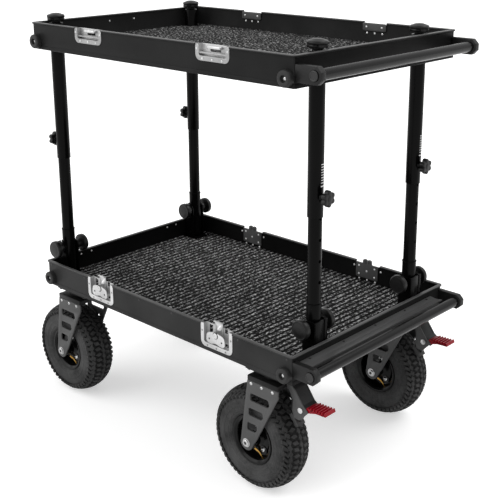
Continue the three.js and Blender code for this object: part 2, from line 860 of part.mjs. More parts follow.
// The pedal turns on its bolt and swings a round pad towards the tyre
function brakePedal() {
  const half = brakeHalfWidth - brakeCheek - turnGap;
  const root = pedalThickness / 2;
  const plate = alongY(polygon([
    [0, -root],
    [pedalLength, root - pedalTip],
    [pedalLength, root],
    [0, root],
  ]), -half, half);
  const grip = pedalLength - brakeCheekFrontReach + brakePivotReach;
  const ribs = [];
  for (let i = 0; i < pedalRibs; i += 1) {
    const x = pedalLength - (grip * (i + 0.5)) / pedalRibs;
    ribs.push(alongY(polygon([
      [x - pedalRibHeight, root - pedalTip / 2],
      [x + pedalRibHeight, root - pedalTip / 2],
      [x + pedalRibHeight, root + pedalRibHeight / 2],
      [x - pedalRibHeight / 2, root + pedalRibHeight],
    ]), -half, half));
  }
  const hub = rod(pedalHubRadius, -half, half, boltSteps, 'y');
  const padFace = wheelRadius + padGap;
  const lean = THREE.MathUtils.degToRad(padAngle);
  const padX = padFace * Math.cos(lean) - casterTrail - brakePivotReach;
  const padZ = padFace * Math.sin(lean) + wheelRadius - brakePivotZ;
  const pad = rod(padRadius, 0, padLength, boltSteps, 'z').rotate([0, 90 - padAngle, 0]);
  const armEnd = padFace + padLength / 2;
  const armX = armEnd * Math.cos(lean) - casterTrail - brakePivotReach;
  const armZ = armEnd * Math.sin(lean) + wheelRadius - brakePivotZ;
  const arm = alongY(polygon([
    [-padArm, 0],
    [armX - padArm / 2, armZ],
    [armX + padArm / 2, armZ - padArm / 2],
    [padArm, 0],
  ]), -padArm / 2, padArm / 2);
  const boreRadius = boreFor(brakeBoltRadius, fitGap, boltSteps);
  const bore = rod(boreRadius, -half - cutOverrun, half + cutOverrun, boltSteps, 'y');
  return join(plate, ...ribs, hub, arm, pad.translate([padX, 0, padZ])).subtract(bore);
}

// Wheels, drawn around Y

function tyre() {
  const half = tyreWidth / 2;
  const bead = tyreBeadWidth / 2 - fitGap;
  const seat = boreFor(barrelRadius, fitGap, tyreSteps);
  const crownRadius = boreFor(wheelRadius, 0, tyreSteps);
  const shoulderRadius = crownRadius - tyreShoulder;
  const profile = [
    [seat, -bead],
    [rimFlangeRadius + fitGap, -bead],
    [shoulderRadius, -half],
  ];
  for (let i = 1; i < crownSteps; i += 1) {
    const angle = (Math.PI * i) / crownSteps - Math.PI / 2;
    profile.push([shoulderRadius + tyreShoulder * Math.cos(angle), half * Math.sin(angle)]);
  }
  profile.push([shoulderRadius, half], [rimFlangeRadius + fitGap, bead], [seat, bead], [seat, -bead]);
  return turned(profile, tyreSteps, 'y').rotate([0, 180 / tyreSteps, 0]);
}

function wheelRim() {
  const inner = barrelRadius - barrelWall;
  const edge = barrelHalfWidth + rimFlangeThickness;
  const bore = boreFor(axleRadius, turnGap, rimSteps);
  const side = [
    [bore, hubHalfWidth],
    [hubRadius, hubHalfWidth],
    [hubRadius, webHalfThickness],
    [inner, webHalfThickness],
    [inner, edge],
    [rimFlangeRadius, edge],
    [rimFlangeRadius, barrelHalfWidth],
    [barrelRadius, barrelHalfWidth],
  ];
  const other = side.map(([radius, height]) => [radius, -height]).reverse();
  return turned([...side, ...other, side[0]], rimSteps, 'y');
}

// Assembly

const cart = new THREE.Group();
const rearReach = casterBackX + casterTrail + wheelRadius;
const frontReach = handleX + armNose;
cart.position.x = (rearReach - frontReach) / 2;

const lowerTray = new THREE.Group();
lowerTray.position.z = lowerTrayZ;
const lowerFrame = trayFrame(latchDishHeight, lowerLeafHeight, lowerBumperRise);
lowerTray.add(named('lower_tray_frame', lowerFrame, blackAluminium));
lowerTray.add(named('lower_deck', lowerDeck(), darkDeck));
lowerTray.add(named('lower_mat', mat(bracketNotch), carpetDark));
lowerTray.add(named('lower_handle', handle(lowerHandleDrop), blackAluminium));
lowerTray.add(named('front_ledge', frontLedge(), blackAluminium));
cart.add(lowerTray);

const upperTray = new THREE.Group();
upperTray.position.z = upperTrayZ;
const upperFrame = trayFrame(catchDishHeight, upperLeafHeight, upperBumperRise);
upperTray.add(named('upper_tray_frame', upperFrame, blackAluminium));
upperTray.add(named('upper_deck', upperDeck(), darkDeck));
upperTray.add(named('upper_mat', mat(bossHole), carpetGrey));
upperTray.add(named('upper_handle', handle(upperHandleDrop), blackAluminium));
cart.add(upperTray);

for (const { name, x } of latches) {
  const low = new THREE.Group();
  low.position.set(x, 0, lowerRimZ);
  low.add(named(`latch_dish_${name}`, latchDish(), chrome));
  const wing = named(`latch_wing_${name}`, latchWing(), chrome);
  wing.position.set(0, -wallY - dishSheet - turnGap, -wingDrop);
  low.add(wing);
  const hook = named(`latch_hook_${name}`, latchHook(), chrome);
  hook.position.y = -wallY;
  low.add(hook);
  low.add(named(`lower_hinge_${name}`, hingeLeaf(lowerLeafHeight, true), hingeSteel));
  cart.add(low);

  const high = new THREE.Group();
  high.position.set(x, 0, upperRimZ);
  high.add(named(`catch_dish_${name}`, catchDish(), chrome));
  high.add(named(`upper_hinge_${name}`, hingeLeaf(upperLeafHeight, false), hingeSteel));
  cart.add(high);
}

const postPieces = {
  post_base: [geometryOf(postBase()), tubeBlack],
  lower_tube: [geometryOf(lowerTube()), tubeBlack],
  upper_tube: [geometryOf(upperTube()), tubeBlack],
  top_knob: [geometryOf(topKnob()), knobPlastic],
};
const starGeometry = geometryOf(starKnob());
const pivotGeometry = geometryOf(pivotBolt());

for (const { name, outward, side, y } of posts) {
  const post = new THREE.Group();
  post.position.set(outward * postX, side * y, 0);
  post.rotation.z = outward > 0 ? 0 : Math.PI;
  for (const [piece, [geometry, material]] of Object.entries(postPieces)) {
    post.add(named(`${piece}_${name}`, geometry, material));
  }
  const star = named(`star_knob_${name}`, starGeometry, knobPlastic);
  star.position.z = starKnobZ;
  post.add(star);
  const bolt = named(`pivot_bolt_${name}`, pivotGeometry, knobPlastic);
  bolt.position.z = pivotZ;
  post.add(bolt);
  cart.add(post);
}

const forkGeometries = { braked: geometryOf(casterFork(true)), plain: geometryOf(casterFork(false)) };
const pedalGeometry = geometryOf(brakePedal());
const tyreGeometry = geometryOf(tyre());
const rimGeometry = geometryOf(wheelRim());

for (const { name, x, y, braked } of casterPlaces()) {
  const caster = new THREE.Group();
  caster.position.set(x, y, 0);
  caster.add(named(`caster_fork_${name}`, braked ? forkGeometries.braked : forkGeometries.plain, forkGrey));
  const wheel = new THREE.Group();
  wheel.position.set(-casterTrail, 0, wheelRadius);
  wheel.add(named(`tyre_${name}`, tyreGeometry, rubber));
  wheel.add(named(`wheel_rim_${name}`, rimGeometry, wheelBlack));
  caster.add(wheel);
  if (braked) {
    const pedal = named(`brake_pedal_${name}`, pedalGeometry, pedalRed);
    pedal.position.set(brakePivotReach, 0, brakePivotZ);
    caster.add(pedal);
  }
  cart.add(caster);
}

export default cart;
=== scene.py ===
"""Two-tier camera cart: two carpeted trays on four telescoping posts and four swivel casters.

Metres, +Z up, +X towards the push handles, -Y the side with the latches.
"""

import math

import bmesh
import bpy
import numpy as np
from mathutils import Matrix, Quaternion, Vector


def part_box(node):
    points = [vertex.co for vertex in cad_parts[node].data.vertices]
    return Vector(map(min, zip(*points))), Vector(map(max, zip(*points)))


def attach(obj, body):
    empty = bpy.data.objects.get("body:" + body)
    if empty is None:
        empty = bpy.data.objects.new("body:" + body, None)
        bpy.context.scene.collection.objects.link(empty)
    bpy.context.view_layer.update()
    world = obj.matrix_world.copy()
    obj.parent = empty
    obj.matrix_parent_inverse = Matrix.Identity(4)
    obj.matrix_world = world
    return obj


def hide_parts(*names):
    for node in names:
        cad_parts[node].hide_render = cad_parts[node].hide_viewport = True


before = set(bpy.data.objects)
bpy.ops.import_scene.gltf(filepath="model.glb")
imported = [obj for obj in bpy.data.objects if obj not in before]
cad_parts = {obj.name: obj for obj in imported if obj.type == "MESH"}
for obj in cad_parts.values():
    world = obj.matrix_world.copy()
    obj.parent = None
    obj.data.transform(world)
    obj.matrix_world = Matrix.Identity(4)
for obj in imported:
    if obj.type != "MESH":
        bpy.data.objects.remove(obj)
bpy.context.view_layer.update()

# Studio and camera
# The cart stands on a plain white sweep, under one wide soft lamp high behind it and a weaker one
# on the latch side. The camera looks down a little on the corner between latches and handles.


class Wire:
    """A shader socket. Python's operators add Math nodes to it."""

    def __init__(self, tree, socket=None):
        self.tree = tree
        self.socket = socket

    def node(self, kind, settings=None, inputs=None, output=0):
        """Adds a node, sets it up, feeds its sockets and gives one of its outputs."""
        added = self.tree.nodes.new(kind)
        for name, value in (settings or {}).items():
            setattr(added, name, value)
        for name, value in (inputs or {}).items():
            if isinstance(value, Wire):
                self.tree.links.new(value.socket, added.inputs[name])
            else:
                added.inputs[name].default_value = value
        return None if output is None else Wire(self.tree, added.outputs[output])

    def maths(self, operation, first, second=0.0):
        return self.node("ShaderNodeMath", {"operation": operation}, {0: first, 1: second})

    def __add__(self, other):
        return self.maths("ADD", self, other)

    def __sub__(self, other):
        return self.maths("SUBTRACT", self, other)

    def __mul__(self, other):
        return self.maths("MULTIPLY", self, other)

    def __pow__(self, other):
        return self.maths("POWER", self, other)

    def __rsub__(self, other):
        return self.maths("SUBTRACT", other, self)

    __radd__ = __add__
    __rmul__ = __mul__

    def larger(self, other):
        return self.maths("MAXIMUM", self, other)

    def step(self, low, high):
        """0 below low, 1 above high and a straight slope between them."""
        limits = {"Value": self, "From Min": low, "From Max": high}
        return self.node("ShaderNodeMapRange", {"clamp": True}, limits)

    def blend(self, dark, light):
        """The colour dark where this wire is 0 and light where it is 1."""
        return self.node(
            "ShaderNodeMix", {"data_type": "RGBA"}, {0: self, 6: dark, 7: light}, output=2
        )

    def vector(self, x=0.0, y=0.0, z=0.0):
        return self.node("ShaderNodeCombineXYZ", {}, {0: x, 1: y, 2: z})


def tone(shade):
    """A grey or a colour as a screen shows it, from 0 to 255, in Blender's own values."""
    parts = shade if isinstance(shade, tuple) else (shade,) * 3
    return (*(((c / 255 + 0.055) / 1.055) ** 2.4 if c > 10 else c / 3295 for c in parts), 1.0)


def blank(owner):
    """The emptied node tree of a material or a world, to build on."""
    owner.use_nodes = True
    owner.node_tree.nodes.clear()
    return Wire(owner.node_tree)


def seen_by(tree, *kinds):
    """1 for these kinds of ray and 0 for all others."""
    seen, *others = (tree.node("ShaderNodeLightPath", output=f"Is {kind} Ray") for kind in kinds)
    for ray in others:
        seen = seen.larger(ray)
    return seen


def placed(name, data):
    """A new object of this data in the scene."""
    item = bpy.data.objects.new(name, data)
    stage.collection.objects.link(item)
    return item


stage = bpy.context.scene
stage.view_settings.view_transform = "Standard"

fill_light = 0.62
lamps = {
    "high_lamp": (1.1, math.radians(40), (0.38, 0.4, 0.83)),
    "side_lamp": (1.5, math.radians(60), (-0.48, -0.7, 0.52)),
}
sweep_tone = 0.85
sweep_lift = 0.46
sweep_reach = 20.0

sky = bpy.data.worlds.new("studio_sky")
air = blank(sky)
strength = fill_light + (1.0 - fill_light) * seen_by(air, "Camera", "Glossy", "Transmission")
glow = air.node("ShaderNodeBackground", {}, {"Color": (1, 1, 1, 1), "Strength": strength})
air.node("ShaderNodeOutputWorld", {}, {"Surface": glow}, output=None)
stage.world = sky

for name, (power, width, towards) in lamps.items():
    lamp = placed(name, bpy.data.lights.new(name, "SUN"))
    lamp.data.energy = power
    lamp.data.angle = width
    lamp.rotation_mode = "QUATERNION"
    lamp.rotation_quaternion = Vector(towards).to_track_quat("Z", "Y")

paper = bpy.data.materials.new("white_paper")
sheet = blank(paper)
matt = sheet.node("ShaderNodeBsdfDiffuse", {}, {"Color": (sweep_tone, sweep_tone, sweep_tone, 1)})
lift = sweep_lift * seen_by(sheet, "Camera", "Glossy")
lift = sheet.node("ShaderNodeEmission", {}, {"Strength": lift})
both = sheet.node("ShaderNodeAddShader", {}, {0: matt, 1: lift})
sheet.node("ShaderNodeOutputMaterial", {}, {"Surface": both}, output=None)
sweep_mesh = bpy.data.meshes.new("sweep")
corners = [(x * sweep_reach, y * sweep_reach, 0) for x, y in ((-1, -1), (1, -1), (1, 1), (-1, 1))]
sweep_mesh.from_pydata(corners, [], [(0, 1, 2, 3)])
sweep_mesh.materials.append(paper)
sweep = placed("sweep", sweep_mesh)

azimuth = math.radians(43.225)
elevation = math.radians(15.95)
camera_target = Vector((0.0755, 0.0, 0.6337))
camera_distance = 2.4599
camera_roll = math.radians(-0.169)
film_width = 36
picture_side = 500
focal_pixels = 964.8
picture_middle = (255.6, 187.0)

back = Vector((
    math.sin(azimuth) * math.cos(elevation),
    -math.cos(azimuth) * math.cos(elevation),
    math.sin(elevation),
))
camera = placed("camera", bpy.data.cameras.new("camera"))
camera.data.sensor_width = film_width
camera.data.lens = film_width * focal_pixels / picture_side
camera.data.shift_x = 0.5 - picture_middle[0] / picture_side
camera.data.shift_y = picture_middle[1] / picture_side - 0.5
camera.location = camera_target + camera_distance * back
camera.rotation_mode = "QUATERNION"
camera.rotation_quaternion = back.to_track_quat("Z", "Y") @ Quaternion((0, 0, 1), camera_roll)
stage.camera = camera

# Tray frames
# Shallow trays of folded aluminium sheet, powder coated black. Each has a rolled lip on top,
# a turned-in foot that carries the deck, and windows for the latches and hinges.


def material(name):
    """A new material, and its Object coordinates as a wire."""
    finish = bpy.data.materials.new(name)
    return finish, blank(finish).node("ShaderNodeTexCoord", output="Object")


def noise(place, scale, detail=2.0):
    return place.node("ShaderNodeTexNoise", {}, {"Vector": place, "Scale": scale, "Detail": detail})


def shaded(place, colour, roughness, height, depth, specular=0.5, metallic=0.0):
    """Ends a material in its Principled shader, with a bump of this height and depth."""
    bump = {"Height": height, "Distance": depth, "Strength": 1.0}
    surface = place.node("ShaderNodeBsdfPrincipled", {}, {
        "Base Color": colour, "Roughness": roughness, "Metallic": metallic,
        "Specular IOR Level": specular, "Normal": place.node("ShaderNodeBump", {}, bump),
    })
    place.node("ShaderNodeOutputMaterial", {}, {"Surface": surface}, output=None)


def coated(name, dark, light, roughness, grain, depth, specular=0.5):
    """A coat, paint or moulding: cloudy in colour, uneven in gloss, with a fine grain."""
    finish, place = material(name)
    cloud = noise(place, 9.0, 4.0)
    fine = noise(place, grain, 3.0)
    colour = (0.6 * cloud + 0.4 * fine).step(0.3, 0.75).blend(tone(dark), tone(light))
    shaded(place, colour, roughness + 0.16 * (cloud - 0.5), fine, depth, specular)
    return finish


def joined(solids):
    """Several solids as one list of points and one of faces."""
    clouds, faces, start = [], [], 0
    for cloud, loops in solids:
        clouds.append(np.asarray(cloud, float).reshape(-1, 3))
        faces += [tuple(start + i for i in loop) for loop in loops]
        start += len(cloud)
    return np.concatenate(clouds), faces


def moved(solid, matrix):
    cloud, loops = solid
    turn = np.array(matrix)
    return np.asarray(cloud) @ turn[:3, :3].T + turn[:3, 3], loops


def at(x=0, y=0, z=0):
    return Matrix.Translation((x, y, z))


def taken(shape):
    """A bmesh's points and faces. The bmesh is freed."""
    shape.verts.index_update()
    cloud = np.array([point.co for point in shape.verts])
    loops = [tuple(point.index for point in face.verts) for face in shape.faces]
    shape.free()
    return cloud, loops


def welded(mesh):
    """A mesh's points and faces, with doubles merged and faces outwards. The mesh is removed."""
    shape = bmesh.new()
    shape.from_mesh(mesh)
    bpy.data.meshes.remove(mesh)
    bmesh.ops.remove_doubles(shape, verts=shape.verts, dist=2e-6)
    bmesh.ops.dissolve_degenerate(shape, edges=shape.edges, dist=1e-6)
    bmesh.ops.recalc_face_normals(shape, faces=shape.faces)
    return taken(shape)


def meshed(name, solid):
    """A new mesh of a solid's points and faces."""
    cloud, loops = solid
    mesh = bpy.data.meshes.new(name)
    mesh.from_pydata(np.asarray(cloud).tolist(), [], loops)
    return mesh


def made(name, finish, *solids, sharp=32):
    """One object from closed solids, smooth but for its sharp edges."""
    mesh = meshed(name, joined([welded(meshed(name, solid)) for solid in solids]))
    mesh.shade_smooth()
    mesh.set_sharp_from_angle(angle=math.radians(sharp))
    mesh.materials.append(finish)
    return placed(name, mesh)


def fit(piece, body, slot, *nodes):
    """The piece rides on a body and stands for CAD nodes, which are hidden. Its slot is not used."""
    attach(piece, body)
    if nodes:
        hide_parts(*nodes)


def fitted(name, finish, solids, spot, body, slot, *nodes, sharp=32):
    """A piece made of solids at a spot, and fitted."""
    piece = made(name, finish, *(moved(solid, spot) for solid in solids), sharp=sharp)
    fit(piece, body, slot, *nodes)


def block(low, high, edge=0.0, steps=2):
    """A box between two corners, with its edges rounded."""
    shape = bmesh.new()
    bmesh.ops.create_cube(shape, size=1.0)
    for point in shape.verts:
        point.co = Vector(h if c > 0 else l for c, l, h in zip(point.co, low, high))
    if edge:
        bmesh.ops.bevel(
            shape, geom=shape.edges[:], offset=edge, segments=steps, profile=0.5, affect="EDGES"
        )
    return taken(shape)


def eased(corners, radius, steps=4, closed=True):
    """A path through corners, each rounded by radius or by the corner's own third number."""
    path = []
    count = len(corners)
    for i, corner in enumerate(corners):
        own = corner[2] if len(corner) > 2 else radius
        here = Vector(corner[:2])
        if own == 0 or (not closed and i in (0, count - 1)):
            path.append((here.x, here.y))
            continue
        before = Vector(corners[i - 1][:2]) - here
        after = Vector(corners[(i + 1) % count][:2]) - here
        half = before.angle(after) / 2
        reach = min(own / math.tan(half), 0.49 * before.length, 0.49 * after.length)
        own = reach * math.tan(half)
        middle = (before.normalized() + after.normalized()).normalized()
        centre = here + middle * own / math.sin(half)
        start = here + before.normalized() * reach - centre
        end = here + after.normalized() * reach - centre
        first = math.atan2(start.y, start.x)
        sweep = (math.atan2(end.y, end.x) - first + math.pi) % (2 * math.pi) - math.pi
        for k in range(steps + 1):
            angle = first + sweep * k / steps
            path.append((centre.x + own * math.cos(angle), centre.y + own * math.sin(angle)))
    return path


def walled(profile, half_length, half_width, radius, steps=6):
    """A profile of (outward, height) points taken round a rounded rectangle."""
    rings = []
    for out, height in profile:
        turn = max(radius + out, 0.0)
        ring = []
        for corner in range(4):
            side_x = 1 if corner in (0, 3) else -1
            side_y = 1 if corner in (0, 1) else -1
            for k in range(steps + 1):
                angle = math.pi / 2 * (corner + k / steps)
                ring.append((
                    side_x * (half_length + out - turn) + turn * math.cos(angle),
                    side_y * (half_width + out - turn) + turn * math.sin(angle),
                    height,
                ))
        rings.append(ring)
    count = len(rings[0])
    faces = []
    for i in range(len(rings)):
        j = (i + 1) % len(rings)
        for k in range(count):
            m = (k + 1) % count
            faces.append((i * count + k, i * count + m, j * count + m, j * count + k))
    return np.array(rings).reshape(-1, 3), faces


def cut(piece, *cutters):
    """Takes solids out of a piece."""
    tool = made("cutter", piece.data.materials[0], *cutters)
    knife = piece.modifiers.new("cut", "BOOLEAN")
    knife.object = tool
    knife.operation = "DIFFERENCE"
    knife.solver = "EXACT"
    knife.use_self = True
    graph = bpy.context.evaluated_depsgraph_get()
    whole = piece.data
    piece.data = bpy.data.meshes.new_from_object(piece.evaluated_get(graph))
    piece.modifiers.remove(knife)
    bpy.data.meshes.remove(whole)
    bpy.data.objects.remove(tool)


mid_x = 0.009
tray_length = 0.9
tray_width = 0.588
tray_height = 0.068
lip = 0.003
wall_x = tray_length / 2 - lip
wall_y = tray_width / 2 - lip
wall = 0.004
tray_corner = 0.005
tray_base = {"lower": 0.319, "upper": 0.97}
rim_top = {level: base + tray_height for level, base in tray_base.items()}
latch_x = {"front": mid_x + 0.215, "back": mid_x - 0.215}
dish_width = 0.103
dish_flange = 0.009
dish_depth = 0.011
dish_height = {"lower": 0.058, "upper": 0.037}
pan_half = dish_width / 2 - dish_flange
wall_face = wall_y - wall
leaf_half = 0.0365
leaf_height = {"lower": 0.042, "upper": 0.02}
seat_gap = 0.0003
leaf_gap = {"lower": 0.0045, "upper": seat_gap}
leaf_notch = 0.0052
pan_reach = 0.021
overrun = 0.01
lip_highlight_low = 0.0655

# Lit and shaded copies of one black powder coat, painted light and shade: the lower tray's outer
# sides lighter as painted light from the floor, its inside darker as painted shade under the upper
# tray, the end walls darker as painted shade, and the upper tray's inside lighter as painted light.
lit_and_shaded_coats = {}
for place, dark, light in (
    ("lower_side", 42, 59), ("lower_end", 28, 42), ("lower_inside", 14, 24),
    ("upper_side", 30, 44), ("upper_end", 18, 30), ("upper_inside", 38, 54),
):
    lit_and_shaded_coats[place] = coated(f"black_coat_lit_and_shaded_{place}", dark, light, 0.36, 900.0, 0.00008, 0.035)
# Painted highlight: the rolled lip's top faces take a lighter, glossier copy of the coat, for the
# light line along the rim.
lip_highlight_coat = coated("lip_painted_highlight_coat", 62, 84, 0.34, 900.0, 0.00008, 0.2)

wall_profile = [
    (-0.0036, 0.0), (0.0006, 0.0), (0.0014, 0.0008), (0.0014, 0.0082), (0.0008, 0.0094),
    (0.0, 0.0098), (0.0, 0.0612), (0.0004, 0.0626), (0.0014, 0.0632), (0.0022, 0.0634),
    (0.0029, 0.0642), (0.003, 0.066), (0.0025, 0.0675), (0.0012, 0.068), (-0.0044, 0.068),
    (-0.0056, 0.0675), (-0.006, 0.066), (-0.0058, 0.064), (-0.0046, 0.0632),
    (-0.004, 0.062), (-0.004, 0.008), (-0.0118, 0.008), (-0.012, 0.0076),
    (-0.012, 0.0052), (-0.0118, 0.005), (-0.004, 0.005), (-0.004, 0.0004),
]

for level, base in tray_base.items():
    rim = walled(wall_profile, wall_x, wall_y, tray_corner)
    tray = made(f"{level}_tray", lit_and_shaded_coats[f"{level}_side"], moved(rim, at(mid_x, 0, base)))
    top = rim_top[level]
    dish_low = top - dish_height[level]
    windows = []
    for x in latch_x.values():
        for half, near, far, low in (
            (pan_half, -wall_y - overrun, pan_reach - wall_y, dish_low + dish_flange),
            (dish_width / 2 + seat_gap, -wall_y - overrun, -wall_y, dish_low - seat_gap),
            (leaf_half + leaf_gap[level], wall_face - 0.006, wall_y + overrun, top - leaf_notch),
        ):
            windows.append(block((x - half, near, low), (x + half, far, top + overrun)))
    cut(tray, *windows)
    tray.data.shade_smooth()
    tray.data.set_sharp_from_angle(angle=math.radians(28))
    for finish in (lip_highlight_coat, lit_and_shaded_coats[f"{level}_end"], lit_and_shaded_coats[f"{level}_inside"]):
        tray.data.materials.append(finish)
    # Each face takes its copy of the coat by where it faces: the lip its painted highlight, inward
    # faces the inside tone, end faces the end tone and the rest the side tone.
    for face in tray.data.polygons:
        way = face.normal
        if face.center.z > base + lip_highlight_low:
            face.material_index = 1
        elif way.x * (face.center.x - mid_x) + way.y * face.center.y < 0:
            face.material_index = 3
        elif abs(way.x) > abs(way.y):
            face.material_index = 2
    fit(tray, f"{level}_frame", "black_aluminium", f"{level}_tray_frame")

# Decks and mats
# A plain sheet deck lies on each tray's foot. The lower mat is a ribbed loop carpet, its ribs
# across the cart, and the upper one a plain needle loop. Both are cut round the posts and pans.

bare_deck = coated("black_deck_sheet", 16, 26, 0.55, 700.0, 0.00005)
for level in tray_base:
    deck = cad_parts[f"{level}_deck"]
    deck.data.materials.clear()
    deck.data.materials.append(bare_deck)


def loop_pile(name, dark, light, scale, low, pitch=None):
    """Dark yarn with lighter flecks and, where it has a rib pitch, near-black rib valleys: black
    backing and painted shade.
    """
    finish, place = material(name)
    stretch = (1.0, 0.45 if pitch else 1.0, 1.0)
    along = place.node("ShaderNodeVectorMath", {"operation": "MULTIPLY"}, {0: place, 1: stretch})
    tuft = noise(along, scale, 1.0)
    hair = noise(place, 1500.0, 2.0)
    patch = noise(place, 14.0, 2.0)
    fleck = (tuft + 0.2 * hair + 0.1 * patch - 0.15).step(low, low + 0.24)
    colour = (fleck ** 1.4).blend(tone(dark), tone(light))
    if pitch:
        across = place.node("ShaderNodeSeparateXYZ", {}, {0: place}, output=0)
        turn = place.maths("FRACT", (across - mid_x) * (1 / pitch))
        # Rib valleys painted near black: the black backing between the ribs together with painted
        # shade.
        valley_backing_and_shade = (2.0 * place.maths("ABSOLUTE", turn - 0.5)).step(0.4, 0.66)
        colour = valley_backing_and_shade.blend(colour, tone(3))
    shaded(place, colour, 0.92 - 0.1 * fleck, 0.7 * tuft + 0.3 * hair, 0.0012, 0.2)
    return finish


edge_reach = 0.004
edge_drop = 0.0022


def mat(name, node, finish, cell, pile, slots, holes=()):
    """A mat with a tufted top over its CAD solid, open where slots and holes cut it."""
    low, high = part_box(node)
    lines = []
    for axis in range(2):
        marks = [low[axis], high[axis]]
        for slot_low, slot_high in slots:
            marks += [m for m in (slot_low[axis], slot_high[axis]) if low[axis] < m < high[axis]]
        marks = sorted(set(round(m, 6) for m in marks))
        spread = []
        for a, b in zip(marks, marks[1:]):
            spread += list(np.linspace(a, b, max(2, round((b - a) / cell[axis]) + 1))[:-1])
        lines.append(np.array(spread + [marks[-1]]))
    across, along = np.meshgrid(lines[0], lines[1], indexing="ij")
    edge = np.minimum.reduce([across - low.x, high.x - across, along - low.y, high.y - along])
    kept = np.ones((len(lines[0]) - 1, len(lines[1]) - 1), bool)
    mid_across = (across[1:, 1:] + across[:-1, :-1]) / 2
    mid_along = (along[1:, 1:] + along[:-1, :-1]) / 2
    for slot_low, slot_high in slots:
        kept &= ~(
            (mid_across > slot_low[0]) & (mid_across < slot_high[0])
            & (mid_along > slot_low[1]) & (mid_along < slot_high[1])
        )
        gap_x = np.maximum(slot_low[0] - across, across - slot_high[0])
        gap_y = np.maximum(slot_low[1] - along, along - slot_high[1])
        edge = np.minimum(edge, np.hypot(np.maximum(gap_x, 0), np.maximum(gap_y, 0)))
    for hole_x, hole_y, radius in holes:
        out = np.hypot(across - hole_x, along - hole_y)
        kept &= np.hypot(mid_across - hole_x, mid_along - hole_y) > radius
        near = (np.abs(out - radius) < 0.75 * max(cell)) & (edge > 1e-6)
        pull = np.where(near, radius / np.maximum(out, 1e-6), 1.0)
        across = hole_x + (across - hole_x) * pull
        along = hole_y + (along - hole_y) * pull
        edge = np.minimum(edge, np.maximum(np.hypot(across - hole_x, along - hole_y) - radius, 0))
    roll = np.sqrt(np.clip(edge / edge_reach, 0.0, 1.0))
    height = high.z - pile(across, along) - edge_drop * (1 - roll)
    shape = bmesh.new()
    points = {}
    for i, j in zip(*np.nonzero(kept)):
        face = []
        for a, b in ((i, j), (i + 1, j), (i + 1, j + 1), (i, j + 1)):
            if (a, b) not in points:
                points[a, b] = shape.verts.new((across[a, b], along[a, b], height[a, b]))
            face.append(points[a, b])
        shape.faces.new(face)
    border = [edge for edge in shape.edges if edge.is_boundary]
    skirt = bmesh.ops.extrude_edge_only(shape, edges=border)["geom"]
    foot = [item for item in skirt if isinstance(item, bmesh.types.BMVert)]
    for point in foot:
        point.co.z = low.z
    ground = [item for item in skirt if isinstance(item, bmesh.types.BMEdge)]
    bmesh.ops.contextual_create(shape, geom=ground)
    bmesh.ops.recalc_face_normals(shape, faces=shape.faces)
    mesh = bpy.data.meshes.new(name)
    shape.to_mesh(mesh)
    shape.free()
    mesh.shade_smooth()
    mesh.set_sharp_from_angle(angle=math.radians(60))
    mesh.materials.append(finish)
    return placed(name, mesh)


def four_corners(front, back):
    """Each corner's letters, its words, its x and y, and 1 at the front end or -1 at the back."""
    return [
        (end[0] + side[0], f"{end}_{side}", x, sign * y, outward)
        for end, (x, y), outward in (("front", front, 1), ("back", back, -1))
        for side, sign in (("near", -1), ("far", 1))
    ]


rib_pitch = 0.017
rib_height = 0.003
tuft_pitch = 0.0064
posts = four_corners((mid_x + 0.417, 0.185), (mid_x - 0.417, 0.239))
slot_half = 0.0305
slot_inward = 0.036
slot_outward = 0.03
boss_hole = 0.0262
pan_cut = 0.012
chance = np.random.default_rng(4)
rib_phase = chance.uniform(0, 2 * math.pi, 80)


def ribbed(across, along):
    """How far the ribbed pile lies below its highest point."""
    rib = np.floor((across - mid_x) / rib_pitch)
    place = np.abs((across - mid_x) / rib_pitch - rib - 0.5) * 2
    hump = np.clip((1.0 - place) / 0.5, 0, 1)
    hump = hump * hump * (3 - 2 * hump)
    tufts = 0.5 + 0.5 * np.sin(2 * math.pi * along / tuft_pitch + rib_phase[rib.astype(int) % 80])
    rough = chance.uniform(0, 1, across.shape)
    return rib_height * (1 - hump) + 0.0009 * (1 - tufts) * hump + 0.0007 * rough


def needled(across, along):
    """How far the plain loop pile lies below its highest point."""
    return 0.0018 * chance.uniform(0, 1, across.shape) ** 1.3


pan_slots = []
for x in latch_x.values():
    half = pan_half + 0.001
    pan_slots.append(((x - half, -tray_width / 2), (x + half, pan_cut - wall_y)))
base_slots = []
for letters, node, x, y, outward in posts:
    low, high = sorted((x - outward * slot_inward, x + outward * slot_outward))
    base_slots.append(((low, y - slot_half), (high, y + slot_half)))
boss_holes = [(x, y, boss_hole) for letters, node, x, y, outward in posts]

ribbed_pile = loop_pile("ribbed_loop_pile", 16, 200, 270.0, 0.46, rib_pitch)
needle_pile = loop_pile("needle_loop_pile", 1, 178, 160.0, 0.51)
lower_mat = mat(
    "lower_ribbed_mat", "lower_mat", ribbed_pile, (0.0019, 0.0032), ribbed, pan_slots + base_slots
)
fit(lower_mat, "lower_frame", "carpet_dark", "lower_mat")
upper_mat = mat(
    "upper_needle_mat", "upper_mat", needle_pile, (0.0026, 0.0026), needled, pan_slots, boss_holes
)
fit(upper_mat, "upper_frame", "carpet_grey", "upper_mat")

# Push handles and the ledge
# Each handle is a painted aluminium tube held between two moulded arms, which end in a chamfered
# nose and a round plug. A dished plate with a front flange fills the gap behind the lower one.

upright = Matrix.Rotation(math.pi / 2, 4, "X")
axle_way = Matrix.Rotation(-math.pi / 2, 4, "X")
outward_way = Matrix.Rotation(math.pi / 2, 4, "Y")
along_x = Matrix(((0, 0, 1, 0), (1, 0, 0, 0), (0, 1, 0, 0), (0, 0, 0, 1)))
still = Matrix()


